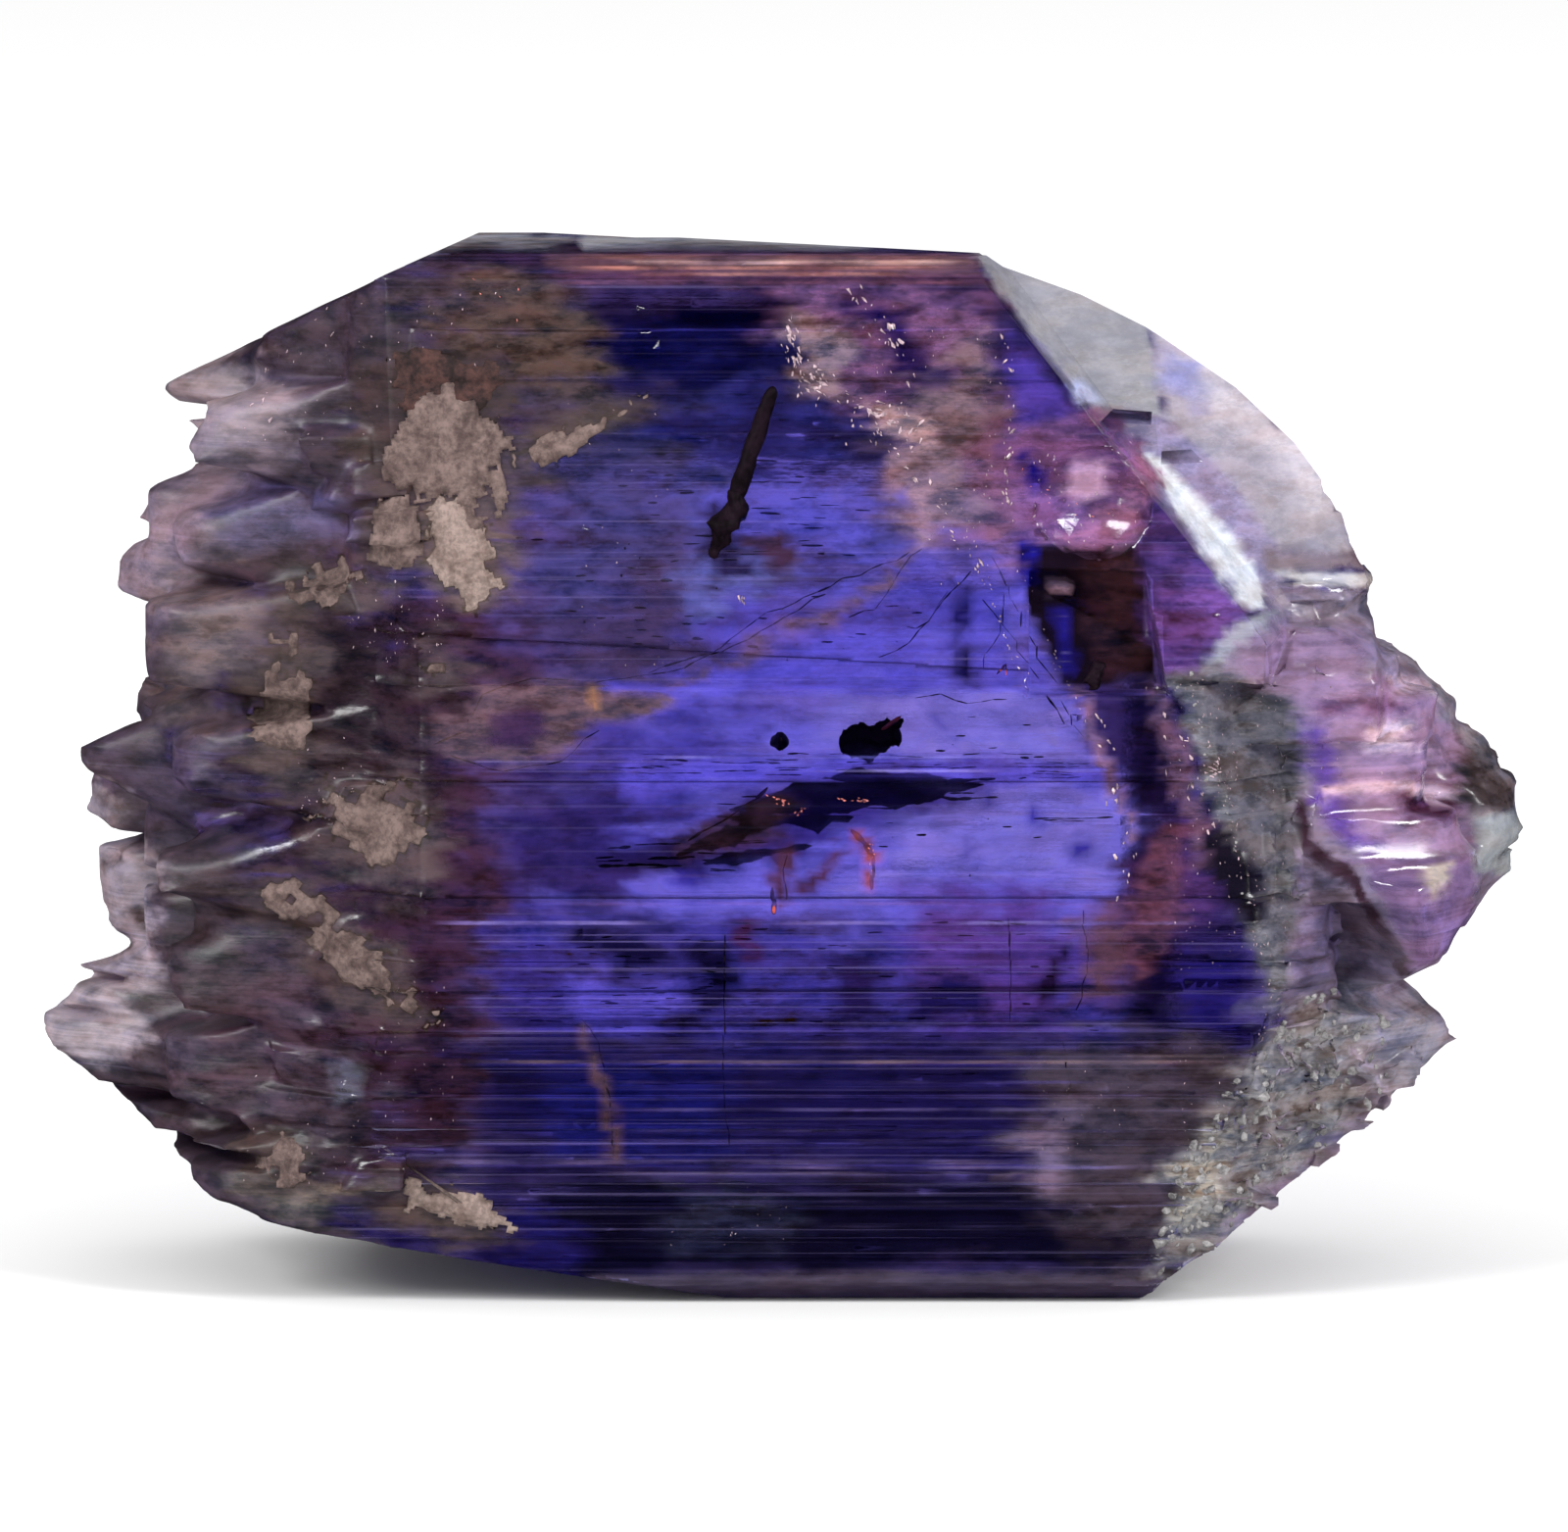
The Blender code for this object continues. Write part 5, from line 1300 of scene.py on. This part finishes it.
def grains(shape, patch, count, smallest, largest, chance, surface):
    """Angular grains bonded to one patch of the crystal's front."""
    outline = next(entry[8] for entry in PATCHES if entry[0] == patch)
    lows, highs = [min(values) for values in zip(*outline)], [max(values) for values in zip(*outline)]
    for _ in range(count):
        hit, outward = front_place(surface, *(chance.uniform(low, high) for low, high in zip(lows, highs)))
        if hit is None:
            continue
        across, height = seen_place(numpy.array([hit / MM]))
        radius = chance.uniform(smallest, largest) * MM
        if inside_share(across, height, outline, 0.1)[0] < chance.random():
            continue
        turn = Euler([chance.uniform(0, math.tau) for _ in range(3)]).to_quaternion()
        scale = Vector([radius * chance.uniform(0.5, 1.2) for _ in range(3)])
        place = Matrix.LocRotScale(hit - outward * radius * 0.3, turn, scale)
        made = bmesh.ops.create_icosphere(shape, subdivisions=1, radius=1.0, matrix=place)
        for vert in made["verts"]:
            vert.co += (vert.co - hit) * chance.uniform(-0.3, 0.3)


def add_inclusion(name, shape, material, smooth=True):
    add_piece(name, finished(shape, name, smooth), [material])


def gathered(make, areas, chance, surface):
    """One shape from many small ones, which is far quicker than adding each to one that grows."""
    whole = bmesh.new()
    for area in areas:
        part = bmesh.new()
        make(part, *area, chance, surface)
        mesh = finished(part, "part")
        whole.from_mesh(mesh)
        bpy.data.meshes.remove(mesh)
    return whole


class TANZANITE_OT_inclusions(bpy.types.Operator):
    """Shut the dark needles, tubes and red threads in the crystal, bond grains to it, and strew flakes
    painted as glints on its fractures
    """

    bl_idname = "tanzanite.inclusions"
    bl_label = "Inclusions"

    def execute(self, context):
        chance = random.Random(context.scene.tanzanite_crust.seed)
        surface = crystal_surface()
        dark = inclusion_material("black_ore", "160A14", 0.6, sheen=0.08)
        red = inclusion_material("red_ore", "A8443A", 0.3)
        # Painted glints: pinkish-red flakes on the surface stand for light caught in the tube and its cracks
        glint = inclusion_material("painted_red_glints", "D87C74", 0.25, 9.0)
        pale = inclusion_material("pale_zoisite_grains", "8A8788", 0.4, 7.0)
        # Painted glints: pale flakes along the fractures stand for the light they catch
        bright = inclusion_material("painted_fracture_glints", "B49CA4", 0.15, 14.0)
        hair = [(corners, CRACK_RADIUS, CRACK_SUNK) for corners in CRACKS]
        shape = gathered(thread, hair, chance, surface)
        streaks = finished(gathered(needles, NEEDLES, chance, surface), "streaks")
        shape.from_mesh(streaks)
        for seed, (start, end, radius, rough, ends) in enumerate(DARK_LUMPS):
            stone_lump(shape, start, end, radius, rough, seed, ends)
        add_inclusion("dark_inclusions", shape, dark)
        reds = [(corners, radius, RED_SUNK + radius) for corners, radius in RED_THREADS]
        add_inclusion("red_inclusions", gathered(thread, reds, chance, surface), red)
        add_inclusion("red_glints", gathered(glint_line, RED_GLINTS, chance, surface), glint, False)
        add_inclusion("bonded_grains", gathered(grains, RUBBLE, chance, surface), pale, False)
        shape = gathered(glint_line, BRIGHT_GLINTS, chance, surface)
        strewn = finished(gathered(flakes, SPARKLES, chance, surface), "strewn")
        shape.from_mesh(strewn)
        add_inclusion("fracture_sparkles", shape, bright, False)
        return {"FINISHED"}


def studio_world():
    """Soft even light on the floor, and a bright ground with a dark sky for what the crystal lets through."""
    world = bpy.data.worlds.new("studio")
    bpy.context.scene.world = world
    world.use_nodes = True
    tree = world.node_tree
    ray = add(tree, "ShaderNodeLightPath")
    toward = add(tree, "ShaderNodeSeparateXYZ", {0: add(tree, "ShaderNodeTexCoord").outputs["Generated"]})
    below = span(tree, toward.outputs["Z"], 0.02, 0.35, 1.0, 0.16)
    behind = span(tree, toward.outputs["Y"], -0.3, 0.35, 0.5, 1.0)
    seen_through = maths(tree, "MULTIPLY", below, behind)
    shares = {0: ray.outputs["Is Transmission Ray"], 2: 1.0, 3: seen_through}
    strength = add(tree, "ShaderNodeMix", shares, data_type="FLOAT")
    tree.links.new(strength.outputs[0], tree.nodes["Background"].inputs["Strength"])
    tree.nodes["Background"].inputs["Color"].default_value = (1.0, 1.0, 1.0, 1.0)
    world.cycles_visibility.glossy = False
    world.cycles.sampling_method = "NONE"


def soft_box(name, place, target, size, power, colour=(1.0, 1.0, 1.0)):
    light = bpy.data.lights.new(name, "AREA")
    light.shape = "RECTANGLE"
    light.size, light.size_y = size
    light.energy = power
    light.color = colour
    lamp = bpy.data.objects.new(name, light)
    lamp.location = Vector(place) * MM
    lamp.rotation_euler = (Vector(target) - Vector(place)).to_track_quat("-Z", "Y").to_euler()
    lamp.visible_camera = False
    bpy.context.scene.collection.objects.link(lamp)
    return lamp


class TANZANITE_OT_stage(bpy.types.Operator):
    """Make the plain floor, the soft light and the camera"""

    bl_idname = "tanzanite.stage"
    bl_label = "Stage"

    def execute(self, context):
        settings = context.scene.tanzanite_stage
        shape = bmesh.new()
        bmesh.ops.create_circle(shape, cap_ends=True, segments=64, radius=FLOOR_RADIUS)
        mesh = bpy.data.meshes.new("floor")
        shape.to_mesh(mesh)
        shape.free()
        floor = bpy.data.objects.new("floor", mesh)
        floor.location.z = -FLOOR_BELOW
        context.scene.collection.objects.link(floor)
        material = bpy.data.materials.new("matt_paper")
        material.use_nodes = True
        paper = material.node_tree.nodes["Principled BSDF"]
        paper.inputs["Base Color"].default_value = (*settings.floor, 1.0)
        paper.inputs["Roughness"].default_value = 0.9
        paper.inputs["Specular IOR Level"].default_value = 0.0
        mesh.materials.append(material)
        floor.visible_glossy = False
        floor.visible_transmission = False

        studio_world()
        soft_box("left_box", (-260, -220, 240), (0, 0, 8), (0.12, 0.16), 0.9)
        soft_box("right_box", (240, -160, 200), (6, 0, 8), (0.07, 0.12), 0.6)

        data = bpy.data.cameras.new("camera")
        data.sensor_width = 36.0
        data.lens = data.sensor_width * settings.distance / (SEEN_WIDTH * MM)
        data.clip_start = 0.001
        camera = bpy.data.objects.new("camera", data)
        aim = Vector(CAMERA_AIM) * MM
        lift = settings.elevation
        camera.location = aim + Vector((0, -math.cos(lift), math.sin(lift))) * settings.distance
        camera.rotation_euler = (math.pi / 2 - lift, 0, 0)
        context.scene.collection.objects.link(camera)
        context.scene.camera = camera
        context.scene.view_settings.view_transform = "Standard"
        cycles = context.scene.cycles
        cycles.max_bounces = cycles.transmission_bounces = CLEAR_BOUNCES
        cycles.glossy_bounces = GLOSSY_BOUNCES
        return {"FINISHED"}


class TANZANITE_PT_panel(bpy.types.Panel):
    bl_label = "Tanzanite Crystal"
    bl_idname = "TANZANITE_PT_panel"
    bl_space_type = "VIEW_3D"
    bl_region_type = "UI"
    bl_category = "Tanzanite"

    def draw(self, context):
        for operator in OPERATORS:
            self.layout.operator(operator.bl_idname)


SETTINGS = {
    "tanzanite_strips": StriationSettings,
    "tanzanite_body": TanzaniteSettings,
    "tanzanite_crust": CrustSettings,
    "tanzanite_stage": StageSettings,
}
OPERATORS = (TANZANITE_OT_stage, TANZANITE_OT_body, TANZANITE_OT_crust, TANZANITE_OT_inclusions)


def register():
    for name, group in SETTINGS.items():
        bpy.utils.register_class(group)
        setattr(bpy.types.Scene, name, PointerProperty(type=group))
    for cls in (*OPERATORS, TANZANITE_PT_panel):
        bpy.utils.register_class(cls)


def unregister():
    for cls in (TANZANITE_PT_panel, *reversed(OPERATORS)):
        bpy.utils.unregister_class(cls)
    for name, group in SETTINGS.items():
        delattr(bpy.types.Scene, name)
        bpy.utils.unregister_class(group)


def main():
    register()
    for operator in OPERATORS:
        family, name = operator.bl_idname.split(".")
        getattr(getattr(bpy.ops, family), name)()


if __name__ == "__main__":
    main()
